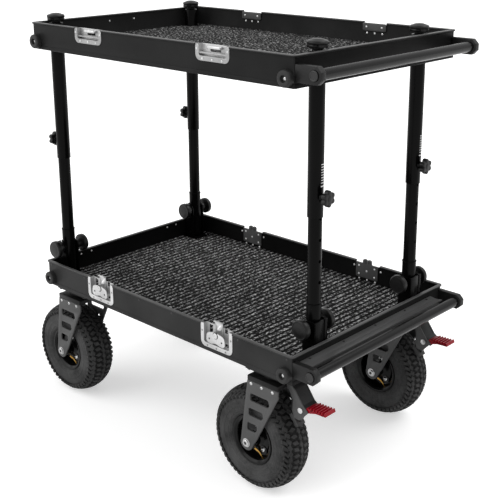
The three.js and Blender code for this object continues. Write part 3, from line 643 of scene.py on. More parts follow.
def curve_solid(loops, closed, **settings):
    """The solid that a curve of these lines and settings makes."""
    curve = bpy.data.curves.new("curve", "CURVE")
    for name, value in settings.items():
        setattr(curve, name, value)
    for loop in loops:
        line = curve.splines.new("POLY")
        line.points.add(len(loop) - 1)
        line.points.foreach_set("co", [c for point in loop for c in (*point, 1)])
        line.use_cyclic_u = closed
    holder = bpy.data.objects.new("curve", curve)
    solid = welded(bpy.data.meshes.new_from_object(holder))
    bpy.data.objects.remove(holder)
    bpy.data.curves.remove(curve)
    return solid


def drawn(outline, low, high, edge=0.0, holes=(), steps=1):
    """A plate cut to an outline in X and Y, from low to high, with rounded edges."""
    solid = curve_solid(
        [[(x, y, 0) for x, y in loop] for loop in (outline, *holes)], True, dimensions="2D",
        fill_mode="BOTH", extrude=(high - low) / 2 - edge, bevel_depth=edge,
        bevel_resolution=steps, offset=-edge,
    )
    return moved(solid, at(z=(low + high) / 2))


def standing(outline, near, far, edge=0.0, holes=(), steps=1):
    """A plate cut to an outline in X and Z, from near to far along Y."""
    return moved(drawn(outline, -far, -near, edge, holes, steps), upright)


def twin(outline, inner, outer, edge, holes=()):
    """Two equal plates in X and Z, one on each side of the middle."""
    return [
        standing(outline, near, far, edge, holes) for near, far in ((-outer, -inner), (inner, outer))
    ]


def turned(profile, steps=48, way=None):
    """A profile of (radius, height) points turned round Z, or along another way."""
    cloud = []
    rows = []
    for radius, height in profile:
        if radius < 1e-7:
            rows.append([len(cloud)])
            cloud.append((0, 0, height))
            continue
        rows.append(list(range(len(cloud), len(cloud) + steps)))
        for k in range(steps):
            angle = 2 * math.pi * k / steps
            cloud.append((radius * math.cos(angle), radius * math.sin(angle), height))
    pairs = list(zip(rows, rows[1:]))
    if len(rows[0]) > 1:
        pairs.append((rows[-1], rows[0]))
    faces = []
    for low, high in pairs:
        for k in range(steps):
            m = (k + 1) % steps
            if len(low) == 1:
                faces.append((low[0], high[m], high[k]))
            elif len(high) == 1:
                faces.append((low[k], low[m], high[0]))
            else:
                faces.append((low[k], low[m], high[m], high[k]))
    solid = (np.array(cloud), faces)
    return moved(solid, way) if way else solid


def lathed(profile, edge, arcs, steps, way=None, closed=False):
    """Turned, with the profile's corners eased first."""
    return turned(eased(profile, edge, arcs, closed), steps, way)


def rod(radius, low, high, edge=0.0, steps=32, way=None):
    """A round bar with eased ends."""
    return lathed([(0, low, 0), (radius, low), (radius, high), (0, high, 0)], edge, 2, steps, way)


def flipped(profile):
    return [(radius, -height) for radius, height in profile]


def ring_of(count, radius):
    """Points evenly round a circle, or round a shape whose radius follows the angle."""
    path = []
    for k in range(count):
        angle = 2 * math.pi * k / count
        out = radius(angle) if callable(radius) else radius
        path.append((out * math.cos(angle), out * math.sin(angle)))
    return path


def arc(radius, first, last, steps, middle=(0, 0)):
    """Points along a circle round a middle, from one angle in degrees to another."""
    angles = [math.radians(first + (last - first) * k / steps) for k in range(steps + 1)]
    return [
        (middle[0] + radius * math.cos(angle), middle[1] + radius * math.sin(angle))
        for angle in angles
    ]


arm_plastic = coated("handle_arm_plastic", 12, 30, 0.42, 700.0, 0.0003, 0.2)
tube_paint = coated("satin_black_tube", 4, 9, 0.24, 500.0, 0.00003, 0.06)
grip_paint = coated("gloss_black_grip", 8, 15, 0.22, 500.0, 0.00003, 0.18)
plug_plastic = coated("plug_plastic", 26, 40, 0.25, 500.0, 0.00005, 0.3)
# Painted light: the ledge's coat is grey, lighter than the other black parts, for the overhead light
# on its top.
ledge_painted_light_coat = coated("ledge_painted_light_coat", 66, 86, 0.36, 900.0, 0.00008, 0.3)

handle_drop = {"lower": 0.03, "upper": 0.036}
handle_x = mid_x + wall_x + 0.05
grip_radius = 0.0125
arm_thick = 0.015
arm_half = 0.0185
arm_chamfer = 0.011
root = mid_x + wall_x + seat_gap
tip = handle_x + 0.018
plug_radius = 0.011
plug_root = wall_y - 0.001
grip_reach = wall_y - arm_thick + 0.004

arm = eased([
    (root, -arm_half, 0), (tip - arm_chamfer, -arm_half), (tip, arm_chamfer - arm_half),
    (tip, arm_half - arm_chamfer), (tip - arm_chamfer, arm_half), (root, arm_half, 0),
], 0.0015, 2)
arms = twin(arm, wall_y - arm_thick, wall_y, 0.0012)
plug = eased([
    (0, plug_root, 0), (plug_radius, plug_root, 0), (plug_radius, wall_y + 0.0026),
    (plug_radius - 0.0022, wall_y + 0.003, 0.0005), (plug_radius - 0.003, wall_y + 0.002),
    (0, wall_y + 0.0026, 0),
], 0.0008, 2, closed=False)
across = at(handle_x) @ axle_way
plugs = [turned(plug, 40, across), turned(flipped(plug), 40, across)]
# Painted shade: a near-black ring just proud of each arm round its plug, standing for the shade in
# the groove there.
shade_ring = rod(plug_radius + 0.0014, plug_root, wall_y + 0.0004, 0.0001, 40)
shade_rings = [moved(shade_ring, across), moved(shade_ring, across @ Matrix.Rotation(math.pi, 4, "X"))]
grip = rod(grip_radius, -grip_reach, grip_reach, steps=40, way=across)

for level, drop in handle_drop.items():
    body = f"{level}_frame"
    lift = at(z=rim_top[level] - drop)
    fitted(f"{level}_handle_arms", arm_plastic, arms, lift, body, "knob_plastic")
    fitted(f"{level}_handle_plugs", plug_plastic, plugs, lift, body, "knob_plastic")
    fitted(f"{level}_plug_shade_rings", tube_paint, shade_rings, lift, body, "knob_plastic")
    fitted(f"{level}_handle_tube", grip_paint, [grip], lift, body, "black_aluminium",
           f"{level}_handle")

ledge_outer = handle_x - grip_radius - seat_gap
ledge_top = rim_top["lower"] - 0.017
ledge_low = ledge_top - 0.014
ledge_middle = (root + ledge_outer) / 2
ledge_sheet = 0.003
ledge_dish = 0.003
ledge = eased([
    (root, ledge_low, 0), (root + ledge_sheet, ledge_low, 0),
    (root + ledge_sheet, ledge_top - ledge_sheet),
    (ledge_middle, ledge_top - ledge_sheet - ledge_dish, 0.03),
    (ledge_outer, ledge_top - ledge_sheet, 0), (ledge_outer, ledge_top, 0),
    (ledge_middle, ledge_top - ledge_dish, 0.03), (root, ledge_top),
], 0.0015, 5)
ledge = standing(ledge, arm_thick - wall_y + seat_gap, wall_y - arm_thick - 0.0363, 0.0006)
fitted("handle_ledge", ledge_painted_light_coat, [ledge], still, "lower_frame", "black_aluminium", "front_ledge")

# Screw and rivet heads
# Domed heads of zinc-plated steel, set by Geometry Nodes on a list of places. A screw's head
# has a hexagonal socket. The heads sit on their sheet or plate and ride with it.


def plated(name, dark, light, roughness, metal=1.0):
    """Metal plate or bare steel, streaked a little and dulled in patches."""
    finish, place = material(name)
    cloud = noise(place, 25.0, 4.0)
    fine = noise(place, 900.0, 2.0)
    colour = (0.7 * cloud + 0.3 * fine).step(0.3, 0.7).blend(tone(dark), tone(light))
    shaded(place, colour, roughness + 0.14 * (cloud - 0.4), fine, 0.00004, metallic=metal)
    return finish


bright_steel = plated("bright_zinc", 150, 205, 0.26)
dark_steel = plated("blackened_steel", 52, 74, 0.38)


def grown(name, finish, sizes, plan, start=None):
    """A solid made by a Geometry Nodes tree with named sizes, which plan fills in."""
    tree = bpy.data.node_groups.new(name, "GeometryNodeTree")
    tree.interface.new_socket("Geometry", in_out="OUTPUT", socket_type="NodeSocketGeometry")
    if start:
        tree.interface.new_socket("Geometry", in_out="INPUT", socket_type="NodeSocketGeometry")
    for label, value in sizes.items():
        kind = "NodeSocketInt" if isinstance(value, int) else "NodeSocketFloat"
        tree.interface.new_socket(label, in_out="INPUT", socket_type=kind)
    entry = tree.nodes.new("NodeGroupInput")
    given = {socket.name: Wire(tree, socket) for socket in entry.outputs if socket.name}
    grow = Wire(tree)
    real = grow.node("GeometryNodeRealizeInstances", {}, {"Geometry": plan(grow, given)})
    clad = grow.node("GeometryNodeSetMaterial", {}, {"Geometry": real, "Material": finish})
    grow.node("NodeGroupOutput", {}, {"Geometry": clad}, output=None)
    holder = placed(name, start or bpy.data.meshes.new(name))
    step = holder.modifiers.new(name, "NODES")
    step.node_group = tree
    for item in tree.interface.items_tree:
        if item.in_out == "INPUT" and item.name in sizes:
            step[item.identifier] = sizes[item.name]
    graph = bpy.context.evaluated_depsgraph_get()
    mesh = bpy.data.meshes.new_from_object(holder.evaluated_get(graph))
    holder.modifiers.remove(step)
    bpy.data.objects.remove(holder)
    return welded(mesh)


def heads(name, finish, places, radius, height, socket=0.0):
    """Rivet or screw heads at places of (point, facing)."""

    def plan(grow, given):
        ball = {"Segments": 12, "Rings": 6, "Radius": given["Head Radius"]}
        dome = grow.node("GeometryNodeMeshUVSphere", {}, ball)
        squash = {"Geometry": dome, "Scale": grow.vector(1.0, 1.0, given["Flatness"])}
        dome = grow.node("GeometryNodeTransform", {}, squash)
        if socket:
            key = {"Vertices": 6, "Radius": given["Socket Radius"], "Depth": given["Head Radius"]}
            key = grow.node("GeometryNodeMeshCylinder", {}, key)
            lift = {"Geometry": key, "Translation": grow.vector(z=0.9 * given["Head Radius"])}
            key = grow.node("GeometryNodeTransform", {}, lift)
            settings = {"operation": "DIFFERENCE", "solver": "EXACT"}
            dome = grow.node("GeometryNodeMeshBoolean", settings, {"Mesh 1": dome, "Mesh 2": key})
        facing = {"data_type": "FLOAT_VECTOR"}
        facing = grow.node("GeometryNodeInputNamedAttribute", facing, {"Name": "facing"})
        turn = grow.node("FunctionNodeAlignRotationToVector", {"axis": "Z"}, {"Vector": facing})
        put = {"Points": given["Geometry"], "Instance": dome, "Rotation": turn}
        return grow.node("GeometryNodeInstanceOnPoints", {}, put)

    start = bpy.data.meshes.new(name)
    start.from_pydata([tuple(point) for point, way in places], [], [])
    facing = start.attributes.new("facing", "FLOAT_VECTOR", "POINT")
    facing.data.foreach_set("vector", [c for point, way in places for c in way])
    sizes = {"Head Radius": radius, "Flatness": height / radius, "Socket Radius": socket}
    return grown(name, finish, sizes, plan, start)


def riveted(name, finish, body, slot, places, radius, height, socket=0.0):
    """Rivet or screw heads as a piece of their own."""
    solid = heads(name, finish, places, radius, height, socket)
    fitted(name, finish, [solid], still, body, slot)


near_way = (0, -1, 0)
front_way = (1, 0, 0)
up_way = (0, 0, 1)
screw_height = 0.3767

places = [
    ((mid_x + x, side * wall_y, screw_height), (0, side, 0))
    for x in (-0.06, 0.06, 0.2835, 0.431, -0.2835, -0.431)
    for side in (-1, 1)
]
riveted("wall_screws", dark_steel, "lower_frame", "hinge_steel", places, 0.0028, 0.0012, 0.0011)
places = [
    ((root + 0.0065, y, ledge_top - 0.0009), up_way) for y in (-0.24, -0.12, 0.0, 0.12, 0.215)
]
riveted("ledge_screws", dark_steel, "lower_frame", "hinge_steel", places, 0.0034, 0.0014, 0.0014)

# Bumpers
# Moulded rubber discs near the corners of the long walls, each held by one screw in a recess.


def side_way(side):
    """Turns what points up to point out of the near (-1) or the far (1) side."""
    return Matrix.Rotation(-side * math.pi / 2, 4, "X")


rubber = coated("black_rubber", 20, 33, 0.62, 260.0, 0.00025, 0.35)
bumper_x = 0.428
bumper_rise = {"lower": 0.022, "upper": 0.02}
recess = 0.0082
bumper = lathed([
    (0, -0.002, 0), (0.018, -0.002, 0), (0.018, 0.015, 0.0045), (0.0078, 0.0148, 0.0016),
    (0.0066, recess, 0.001), (0, recess, 0),
], 0.001, 5, 48)
for level, rise in bumper_rise.items():
    discs = []
    places = []
    for x in (mid_x - bumper_x, mid_x + bumper_x):
        for side in (-1, 1):
            face = at(x, side * wall_y, tray_base[level] + rise) @ side_way(side)
            discs.append(moved(bumper, face))
            places.append((face @ Vector((0, 0, recess)), (0, side, 0)))
    body = f"{level}_frame"
    fitted(f"{level}_bumpers", rubber, discs, still, body, "tyre")
    riveted(f"{level}_bumper_screws", bright_steel, body, "chrome", places, 0.0046, 0.0026, 0.0019)

# Twist latches, catch dishes and hinge leaves
# Pressed zinc-plated dishes are riveted into the near walls: the lower ones hold a twist wing
# and its hook, the upper ones a catch bar. Lift-off hinge leaves sit inside the far walls.

zinc = plated("zinc_plate", 168, 212, 0.34, 0.7)
# Painted light and shade: the pressed pan is the same sheet as its flange, but takes a copy of the
# zinc with its own tone and gloss, set for the light in its recess.
pan_painted_light_zinc = plated("pan_painted_light_zinc", 140, 196, 0.34, 0.45)
# Painted shade: the upper catch dishes take a darker copy of the same zinc, for the darker
# surroundings they reflect.
catch_painted_shade_zinc = plated("catch_painted_shade_zinc", 130, 168, 0.36, 0.8)
# Painted shade: the latch dish rivets are a darker copy of the zinc, so they show as dark marks.
shaded_rivet_finish = plated("rivets_painted_shade", 105, 145, 0.4, 0.9)
# Painted highlight: the hinge and end-wall rivets are a near-white, barely metallic copy of the zinc,
# for their bright glints.
highlit_rivet_finish = plated("rivets_painted_highlight", 205, 240, 0.34, 0.35)
leaf_steel = plated("dark_hinge_steel", 58, 78, 0.46, 0.2)

dish_sheet = 0.0015
dish_corner = 0.014
pan_corner = 0.006
rim_gap = 0.0008
pan_start = 0.0006 - wall_y
dish_face = -wall_y - dish_sheet
dish_floor = dish_depth - wall_y


def cup(half, low, corner):
    """An outline open at the rim, down one side and up the other."""
    return [(half, -rim_gap, 0), (half, low, corner), (-half, low, corner), (-half, -rim_gap, 0)]


def dish(height):
    """A flange with round lower corners and the pan pressed into it."""
    low = dish_flange - height
    flange = cup(dish_width / 2, -height, dish_corner)
    outer = cup(pan_half, low, pan_corner)
    inner = cup(pan_half - dish_sheet, low + dish_sheet, pan_corner - dish_sheet)[::-1]
    return [
        standing(eased(flange + inner, 0.001, 7), dish_face, -wall_y, 0.0004),
        standing(eased(outer + inner, 0.001, 5), -wall_y - 0.0008, dish_floor - 0.0004, 0.0002),
        standing(eased(outer, 0.001, 5), dish_floor - dish_sheet, dish_floor, 0.0004),
    ]


def pressed(name, finish, solids, spot, gaps, body, node):
    """A dish with gaps cut through its pan, and the pan in a copy of the zinc with painted light and
    shade.
    """
    pan = made(name, finish, *(moved(solid, spot) for solid in solids))
    tools = [block((left, 0.004 - wall_y, low), (right, 0, high)) for left, low, right, high in gaps]
    cut(pan, *(moved(tool, spot) for tool in tools))
    pan.data.set_sharp_from_angle(angle=math.radians(32))
    pan.data.materials.append(pan_painted_light_zinc)
    for face in pan.data.polygons:
        if face.center.y > pan_start:
            face.material_index = 1
    fit(pan, body, "chrome", node)


def dish_rivets(x, top, high, low):
    """Two places for rivets beside a pan and three below it."""
    spots = ((-0.047, high), (0.047, high), (-0.03, low), (0.0, low), (0.03, low))
    return [((x + side, dish_face, top + down), near_way) for side, down in spots]


latch_gaps = [
    (-0.033, -0.026, -0.0215, -0.004), (0.0172, -0.0135, 0.0275, -0.001),
    (0.0185, -0.047, 0.039, -0.0385),
]
catch_gaps = [(-0.0155, -0.0175, 0.017, -0.0112)]

hub_drop = 0.033
boss_lift = 0.0125
lobe_hole_reach = 0.0202
hub_spot = at(z=-hub_drop)
stalk = rod(0.0045, -wall_y - 0.0017, -wall_y + dish_depth - 0.001, way=hub_spot @ axle_way)
wing_back = dish_face - 0.0005
wing_face = hub_spot @ at(0, wing_back) @ upright
boss_spot = wing_face @ at(0, boss_lift)
wing = moved(standing(eased([
    (0.0285, 0.015, 0.012), (0.0312, -0.0102, 0.0115), (0.013, -0.011, 0.01),
    (0.0, -0.0068, 0.018), (-0.013, -0.011, 0.01), (-0.0312, -0.0102, 0.0115),
    (-0.0285, 0.015, 0.012), (-0.008, 0.019, 0.008), (0.008, 0.019, 0.008),
], 0.008, 5), wing_back - 0.0025, wing_back, 0.0006), hub_spot)
boss = lathed([
    (0, 0.001, 0), (0.007, 0.001, 0), (0.007, 0.0046, 0.001), (0.003, 0.0047, 0.0006),
    (0.0022, 0.0038, 0.0004), (0, 0.0038, 0),
], 0.0008, 3, 40, boss_spot)
hub = lathed([
    (0, -0.0015, 0), (0.004, -0.0015, 0), (0.004, 0.0029), (0, 0.0031, 0),
], 0.0006, 3, 32, wing_face)
# Painted shade: thin blackened discs, a ring round the boss for its shadowed outline and one on each
# lobe for the dark of its hole.
shade_discs = [rod(0.0086, 0.001, 0.0029, 0.0003, 40, boss_spot)] + [
    rod(0.0023, 0.001, 0.0029, 0.0002, 20, wing_face @ at(x, 0.0005))
    for x in (-lobe_hole_reach, lobe_hole_reach)
]

hook_half = 0.013
hook_rear = dish_depth - dish_sheet - seat_gap - wall_y
hook_front = hook_rear - 0.002
hook = moved(drawn(eased([
    (hook_rear, -0.038, 0), (hook_front, -0.038, 0), (hook_front, 0.0098, 0.0012),
    (hook_front - 0.005, 0.0098, 0.0006), (hook_front - 0.005, 0.0118, 0.0006),
    (hook_rear, 0.012, 0.003),
], 0.001, 4), -hook_half, hook_half, 0.0004), along_x)
dome = lathed([
    (0, -0.001, 0), (0.0062, -0.001, 0), (0.0062, 0.0006, 0.0006), (0.004, 0.0022, 0.002),
    (0, 0.0028, 0),
], 0.001, 3, 32, at(0, hook_front, -0.009) @ upright)
hook_slot = block((-0.0055, -wall_y - 0.01, -0.06), (0.0055, 0.02 - wall_y, -0.023))

bar_half = pan_half - dish_sheet / 2
bar_rear = -wall_y + dish_depth - dish_sheet / 2
catch_bar = block((-bar_half, -wall_y - 0.0004, -0.0215), (bar_half, bar_rear, -0.018), 0.0008)
keeper = block((-0.018, -wall_y + 0.0004, -0.0105), (0.022, bar_rear, -0.0035), 0.0024, 3)

for place, x in latch_x.items():
    letter = place[0]
    top = rim_top["lower"]
    spot = at(x, 0, top)
    pressed(f"latch_dish_{letter}", zinc, [*dish(dish_height["lower"]), stalk], spot, latch_gaps,
            "lower_frame", f"latch_dish_{place}")
    riveted(f"latch_rivets_{letter}", shaded_rivet_finish, "lower_frame", "chrome",
            dish_rivets(x, top, -0.02, -0.0535), 0.0027, 0.0004)
    body = f"latch_wing_{letter}"
    fitted(body, zinc, [wing, boss], spot, body, "chrome", f"latch_wing_{place}")
    fitted(f"latch_hub_{letter}", zinc, [hub], spot, body, "chrome")
    fitted(f"latch_shade_discs_{letter}", dark_steel, shade_discs, spot, body, "hinge_steel")
    piece = made(f"latch_hook_{letter}", zinc, moved(hook, spot), moved(dome, spot))
    cut(piece, moved(hook_slot, spot))
    fit(piece, f"latch_hook_{letter}", "chrome", f"latch_hook_{place}")

    top = rim_top["upper"]
    spot = at(x, 0, top)
    pressed(f"catch_dish_{letter}", catch_painted_shade_zinc, [*dish(dish_height["upper"]), catch_bar], spot,
            catch_gaps, "upper_frame", f"catch_dish_{place}")
    fitted(f"catch_keeper_{letter}", zinc, [keeper], spot, "upper_frame", "chrome")
    riveted(f"catch_rivets_{letter}", zinc, "upper_frame", "chrome",
            dish_rivets(x, top, -0.012, -0.0325), 0.003, 0.002)

leaf_rear = wall_face - seat_gap
leaf_front = leaf_rear - 0.003
lobes = {"upper": [], "lower": [
    standing(eased([
        (side * 0.0015, -0.006, 0), (side * 0.014, -0.006, 0),
        (side * 0.014, 0.009, 0.005), (side * 0.0015, 0.009, 0.003),
    ], 0.001, 4), leaf_front, leaf_front + 0.006, 0.0008)
    for side in (-1, 1)
]}
leaf_rivets = {
    "lower": [(0, -0.024), (-0.026, -0.012), (0.026, -0.012), (-0.026, -0.036), (0.026, -0.036)],
    "upper": [(-0.024, -0.013), (0.024, -0.013)],
}
beside_leaf = {
    "lower": [(-0.0445, -0.016), (0.0445, -0.016), (-0.027, -0.0505), (0, -0.0505), (0.027, -0.0505)],
    "upper": [(-0.024, -0.029), (0, -0.029), (0.024, -0.029)],
}
end_rivets = {
    "lower": [(y, 0.057) for y in (-0.181, -0.145, 0.145, 0.181)],
    "upper": [(y, z) for y in (-0.0435, 0.0435) for z in (0.0132, 0.0502)],
}
for place, x in latch_x.items():
    for level, top in rim_top.items():
        low = -leaf_height[level] - 0.003
        leaf = eased([
            (-leaf_half, low), (leaf_half, low), (leaf_half, -0.003), (-leaf_half, -0.003),
        ], 0.004, 4)
        parts = [standing(leaf, leaf_front, leaf_rear, 0.0006), *lobes[level]]
        fitted(f"{level}_hinge_{place[0]}", leaf_steel, parts, at(x, 0, top), f"{level}_frame",
               "hinge_steel", f"{level}_hinge_{place}")
        places = [
            ((x + side, y, top + down), near_way)
            for y, spots in ((leaf_front, leaf_rivets[level]), (wall_face, beside_leaf[level]))
            for side, down in spots
        ]
        riveted(f"{level}_hinge_rivets_{place[0]}", highlit_rivet_finish, f"{level}_frame", "chrome", places,
                0.0029, 0.0015)

for level, spots in end_rivets.items():
    places = [((mid_x - wall_x + wall, y, tray_base[level] + z), front_way) for y, z in spots]
    riveted(f"{level}_wall_rivets", highlit_rivet_finish, f"{level}_frame", "chrome", places, 0.0028, 0.0014)

# Telescoping posts
# Black anodised tubes slide in one another. Each lower tube is pressed into a socket and pinned
# in a folded base bracket by a bolt with two round knobs. A star knob clamps the height.

knob_plastic = coated("moulded_knob_plastic", 14, 26, 0.32, 420.0, 0.00006, 0.2)
scale_paint = coated("white_scale_paint", 225, 240, 0.6, 900.0, 0.00002)

deck_top = 0.0113
bracket_base = tray_base["lower"] + deck_top + seat_gap
socket_radius = 0.018
bracket_sheet = 0.004
bracket_inner = socket_radius + 0.0005
bracket_outer = bracket_inner + bracket_sheet
bracket_back = 0.014
bracket_top = rim_top["lower"] + 0.049
pivot_height = rim_top["lower"] + 0.0345
socket_top = rim_top["lower"] + 0.087
inner_radius = 0.0157
inner_bore = 0.0137
inner_low = bracket_base + 0.01
inner_top = tray_base["upper"] - 0.12
outer_bore = inner_radius + 0.0005
outer_radius = outer_bore + 0.0016
outer_low = tray_base["upper"] - 0.296
star_height = outer_low + 0.047
boss_top = rim_top["upper"] - 0.004
flange_low = tray_base["upper"] + deck_top + seat_gap
pin_pitch = 0.049
star_way = at(z=star_height) @ outward_way
pivot_way = at(z=pivot_height) @ axle_way

ear = eased([
    (-bracket_back, bracket_base, 0), (bracket_outer, bracket_base, 0),
    (bracket_outer, bracket_top, 0.002), (-bracket_back, bracket_top, 0.013),
], 0.001, 6)
web = eased([
    (-bracket_outer, bracket_base, 0), (bracket_outer, bracket_base, 0),
    (bracket_outer, bracket_top, 0.002), (0.012, bracket_top, 0.001),
    (0.012, bracket_base + 0.008, 0.001), (0.009, bracket_base + 0.008, 0.001),
    (0.009, bracket_top, 0.001), (-bracket_outer, bracket_top, 0.002),
], 0.001, 2)
bracket = [
    block((-bracket_back - 0.014, -bracket_outer, bracket_base),
          (bracket_outer, bracket_outer, bracket_base + bracket_sheet), 0.0008),
    *twin(ear, bracket_inner, bracket_outer, 0.0008),
    moved(drawn(web, bracket_inner, bracket_outer, 0.0008), along_x),
]

inner_tube = lathed([
    (inner_bore, inner_low, 0), (0.0172, inner_low, 0), (0.0172, socket_top - 0.003, 0),
    (socket_radius, socket_top - 0.003), (socket_radius, socket_top),
    (inner_radius, socket_top, 0), (inner_radius, inner_top), (inner_bore, inner_top),
    (inner_bore, inner_low, 0),
], 0.0005, 2, 48, closed=True)
pin_holes = [
    rod(0.004, 0.006, 0.03, steps=20, way=at(z=star_height + k * pin_pitch) @ outward_way)
    for k in range(2, -5, -1)
]
pin_holes.append(rod(0.0054, -0.025, 0.025, steps=20, way=pivot_way))

outer_tube = [
    lathed([
        (outer_bore, outer_low), (outer_radius, outer_low), (outer_radius, flange_low, 0),
        (0.025, flange_low), (0.025, flange_low + 0.004), (outer_radius, flange_low + 0.004, 0.001),
        (outer_radius, boss_top, 0.0015), (0.0067, boss_top), (0.0067, boss_top - 0.02, 0),
        (outer_bore, boss_top - 0.02, 0),
    ], 0.0005, 2, 56, closed=True),
    lathed([
        (0.0044, outer_bore + 0.001, 0), (0.009, outer_bore + 0.001, 0),
        (0.009, outer_radius + 0.007, 0.0012), (0.0044, outer_radius + 0.007, 0.0004),
    ], 0.001, 3, 32, star_way, closed=True),
]

star = ring_of(96, lambda angle: 0.014 + 0.005 * math.sqrt((1 + math.cos(6 * angle)) / 2))
star_back = outer_radius + 0.01
star_knob = [
    moved(drawn(star, star_back, star_back + 0.013, 0.0026, steps=2), star_way),
    rod(0.0085, star_back - 0.002, star_back + 0.004, 0.001, way=star_way),
    rod(0.0075, star_back + 0.01, star_back + 0.0138, 0.0012, way=star_way),
]
star_stud = rod(0.004, outer_bore + 0.0012, star_back + 0.002, 0.0005, 20, star_way)

skirt = ring_of(120, lambda angle: 0.0222 - 0.0048 * max(0.0, math.cos(6 * angle)) ** 0.8)
knob_base = boss_top + seat_gap
top_knob = [
    lathed([
        (0, knob_base + 0.0125, 0), (0.0222, knob_base + 0.0125, 0.0006),
        (0.023, knob_base + 0.015, 0.001), (0.023, knob_base + 0.0178, 0.0016),
        (0.0206, knob_base + 0.0206, 0.001), (0.0196, knob_base + 0.0204, 0.0006),
        (0.01, knob_base + 0.024, 0.02), (0, knob_base + 0.025, 0),
    ], 0.001, 4, 56),
    drawn(skirt, knob_base + 0.0055, knob_base + 0.013, 0.0012),
    rod(0.012, knob_base, knob_base + 0.0062, 0.0008),
]
top_stud = rod(0.006, boss_top - 0.014, boss_top + 0.002, 0.0004, 24)

half_bolt = eased([
    (0.005, bracket_outer + seat_gap, 0), (0.012, bracket_outer + seat_gap, 0.0006),
    (0.012, 0.0372, 0), (0.0228, 0.037, 0.0016), (0.0235, 0.0392, 0.001),
    (0.0235, 0.0474, 0.003), (0.0206, 0.0506, 0.001), (0.019, 0.05, 0.0006),
    (0.009, 0.0509, 0.01), (0, 0.051, 0),
], 0.001, 3, closed=False)
bolt = turned(flipped(half_bolt)[::-1] + half_bolt, 56, pivot_way)

for letters, node, x, y, outward in posts:
    spot = at(x, y) @ Matrix.Rotation(0 if outward > 0 else math.pi, 4, "Z")
    fitted(f"post_base_{letters}", tube_paint, bracket, spot, "lower_frame", "tube_black",
           f"post_base_{node}")
    tube = made(f"lower_tube_{letters}", tube_paint, inner_tube)
    cut(tube, *pin_holes)
    tube.data.transform(spot)
    tube.data.set_sharp_from_angle(angle=math.radians(32))
    fit(tube, "lower_frame", "tube_black", f"lower_tube_{node}")
    fitted(f"upper_tube_{letters}", tube_paint, outer_tube, spot, "upper_frame", "tube_black",
           f"upper_tube_{node}")
    for knob, solids, stud in (("star", star_knob, star_stud), ("top", top_knob, top_stud)):
        body = f"{knob}_knob_{letters}"
        fitted(body, knob_plastic, solids, spot, body, "knob_plastic", f"{knob}_knob_{node}")
        fitted(f"{knob}_stud_{letters}", bright_steel, [stud], spot, body, "chrome")
    body = f"pivot_bolt_{letters}"
    fitted(body, knob_plastic, [bolt], spot, body, "knob_plastic", f"pivot_bolt_{node}")


def tick_plan(grow, given):
    """A painted bar, set again and again up the tube."""
    row = {"Count": given["Tick Count"], "Offset": grow.vector(z=given["Tick Pitch"])}
    row = grow.node("GeometryNodeMeshLine", {"mode": "OFFSET"}, row)
    put = {"Points": row, "Instance": given["Geometry"]}
    return grow.node("GeometryNodeInstanceOnPoints", {}, put)


def band(half_turn, height):
    """A thin painted bar round a part of the upper tube."""
    outline = arc(outer_radius + 0.0004, -half_turn, half_turn, 12)
    outline += arc(outer_radius - 0.0004, half_turn, -half_turn, 12)
    return drawn(outline, 0.0, height)


scale_height = 0.752
tick_sizes = {"Tick Count": 8, "Tick Pitch": 0.0058}
short_bar = meshed("short_bar", band(17, 0.0016))
ticks = grown("height_scale", scale_paint, tick_sizes, tick_plan, short_bar)
bars = [ticks, moved(band(19, 0.0026), at(z=-0.008))]
for letters, node, x, y, outward in posts[:2]:
    spot = at(x, y, scale_height) @ Matrix.Rotation(math.radians(8), 4, "Z")
    fitted(f"height_scale_{letters}", scale_paint, bars, spot, "upper_frame", "tube_black")

# Casters
# Swivel forks cut and folded from thick steel, powder coated grey, with three slots in each side.
# A ball race on a mounting plate joins each to the deck, and the wheel turns on a bolted axle.

fork_coat = coated("grey_fork_coat", 54, 74, 0.46, 800.0, 0.0001, 0.35)
race_coat = coated("black_race_coat", 10, 20, 0.36, 600.0, 0.00006, 0.14)

casters = four_corners((mid_x + 0.36, 0.241), (mid_x - 0.356, 0.241))
trail = 0.05
wheel_radius = 0.127
fork_length = 0.0465
fork_width = 0.0517
fork_plate = 0.005
fork_top = 2 * wheel_radius + 0.048
crown = 0.012
side_top = fork_top - crown - 0.0005
race_top = fork_top + 0.014
axle_reach = fork_width + 0.005
axle_spot = at(-trail, 0, wheel_radius)
near_end, far_end = (axle_spot @ side_way(side) for side in (-1, 1))

fork_outline = [
    (-fork_length, side_top), (-trail - 0.0185, wheel_radius),
    *arc(0.019, 180, 345, 16, (-trail, wheel_radius)),
    (-0.0253, 0.1338), (-0.0178, 0.145), (fork_length - 0.001, 0.27), (fork_length, 0.274),
    (fork_length, side_top),
]
fork_slots = [
    eased([(-0.0376, 0.2395), (0.016, 0.2395), (0.0215, 0.2465), (0.017, 0.2585),
           (-0.0376, 0.2585)], 0.0045, 4),
    eased([(-0.0428, 0.201), (-0.005, 0.201), (0.0022, 0.208), (0.0, 0.2205),
           (-0.0425, 0.2205)], 0.0045, 4),
    eased([(-0.0472, 0.1625), (-0.0235, 0.1625), (-0.018, 0.169), (-0.017, 0.1822),
           (-0.0468, 0.1822)], 0.0042, 4),
]
fork_sides = twin(fork_outline, fork_width - fork_plate, fork_width, 0.001, fork_slots)
fork_crown = [
    block((-fork_length, -fork_width, fork_top - crown), (fork_length, fork_width, fork_top), 0.002),
    lathed([
        (0, fork_top - 0.002, 0), (0.036, fork_top - 0.002, 0), (0.036, fork_top + 0.0045, 0.0015),
        (0.0335, fork_top + 0.006, 0.0006), (0.0335, fork_top + 0.0078, 0.0006),
        (0.036, fork_top + 0.0092, 0.0015), (0.036, race_top - 0.0008, 0.0008), (0, race_top, 0),
    ], 0.001, 3, 56),
]
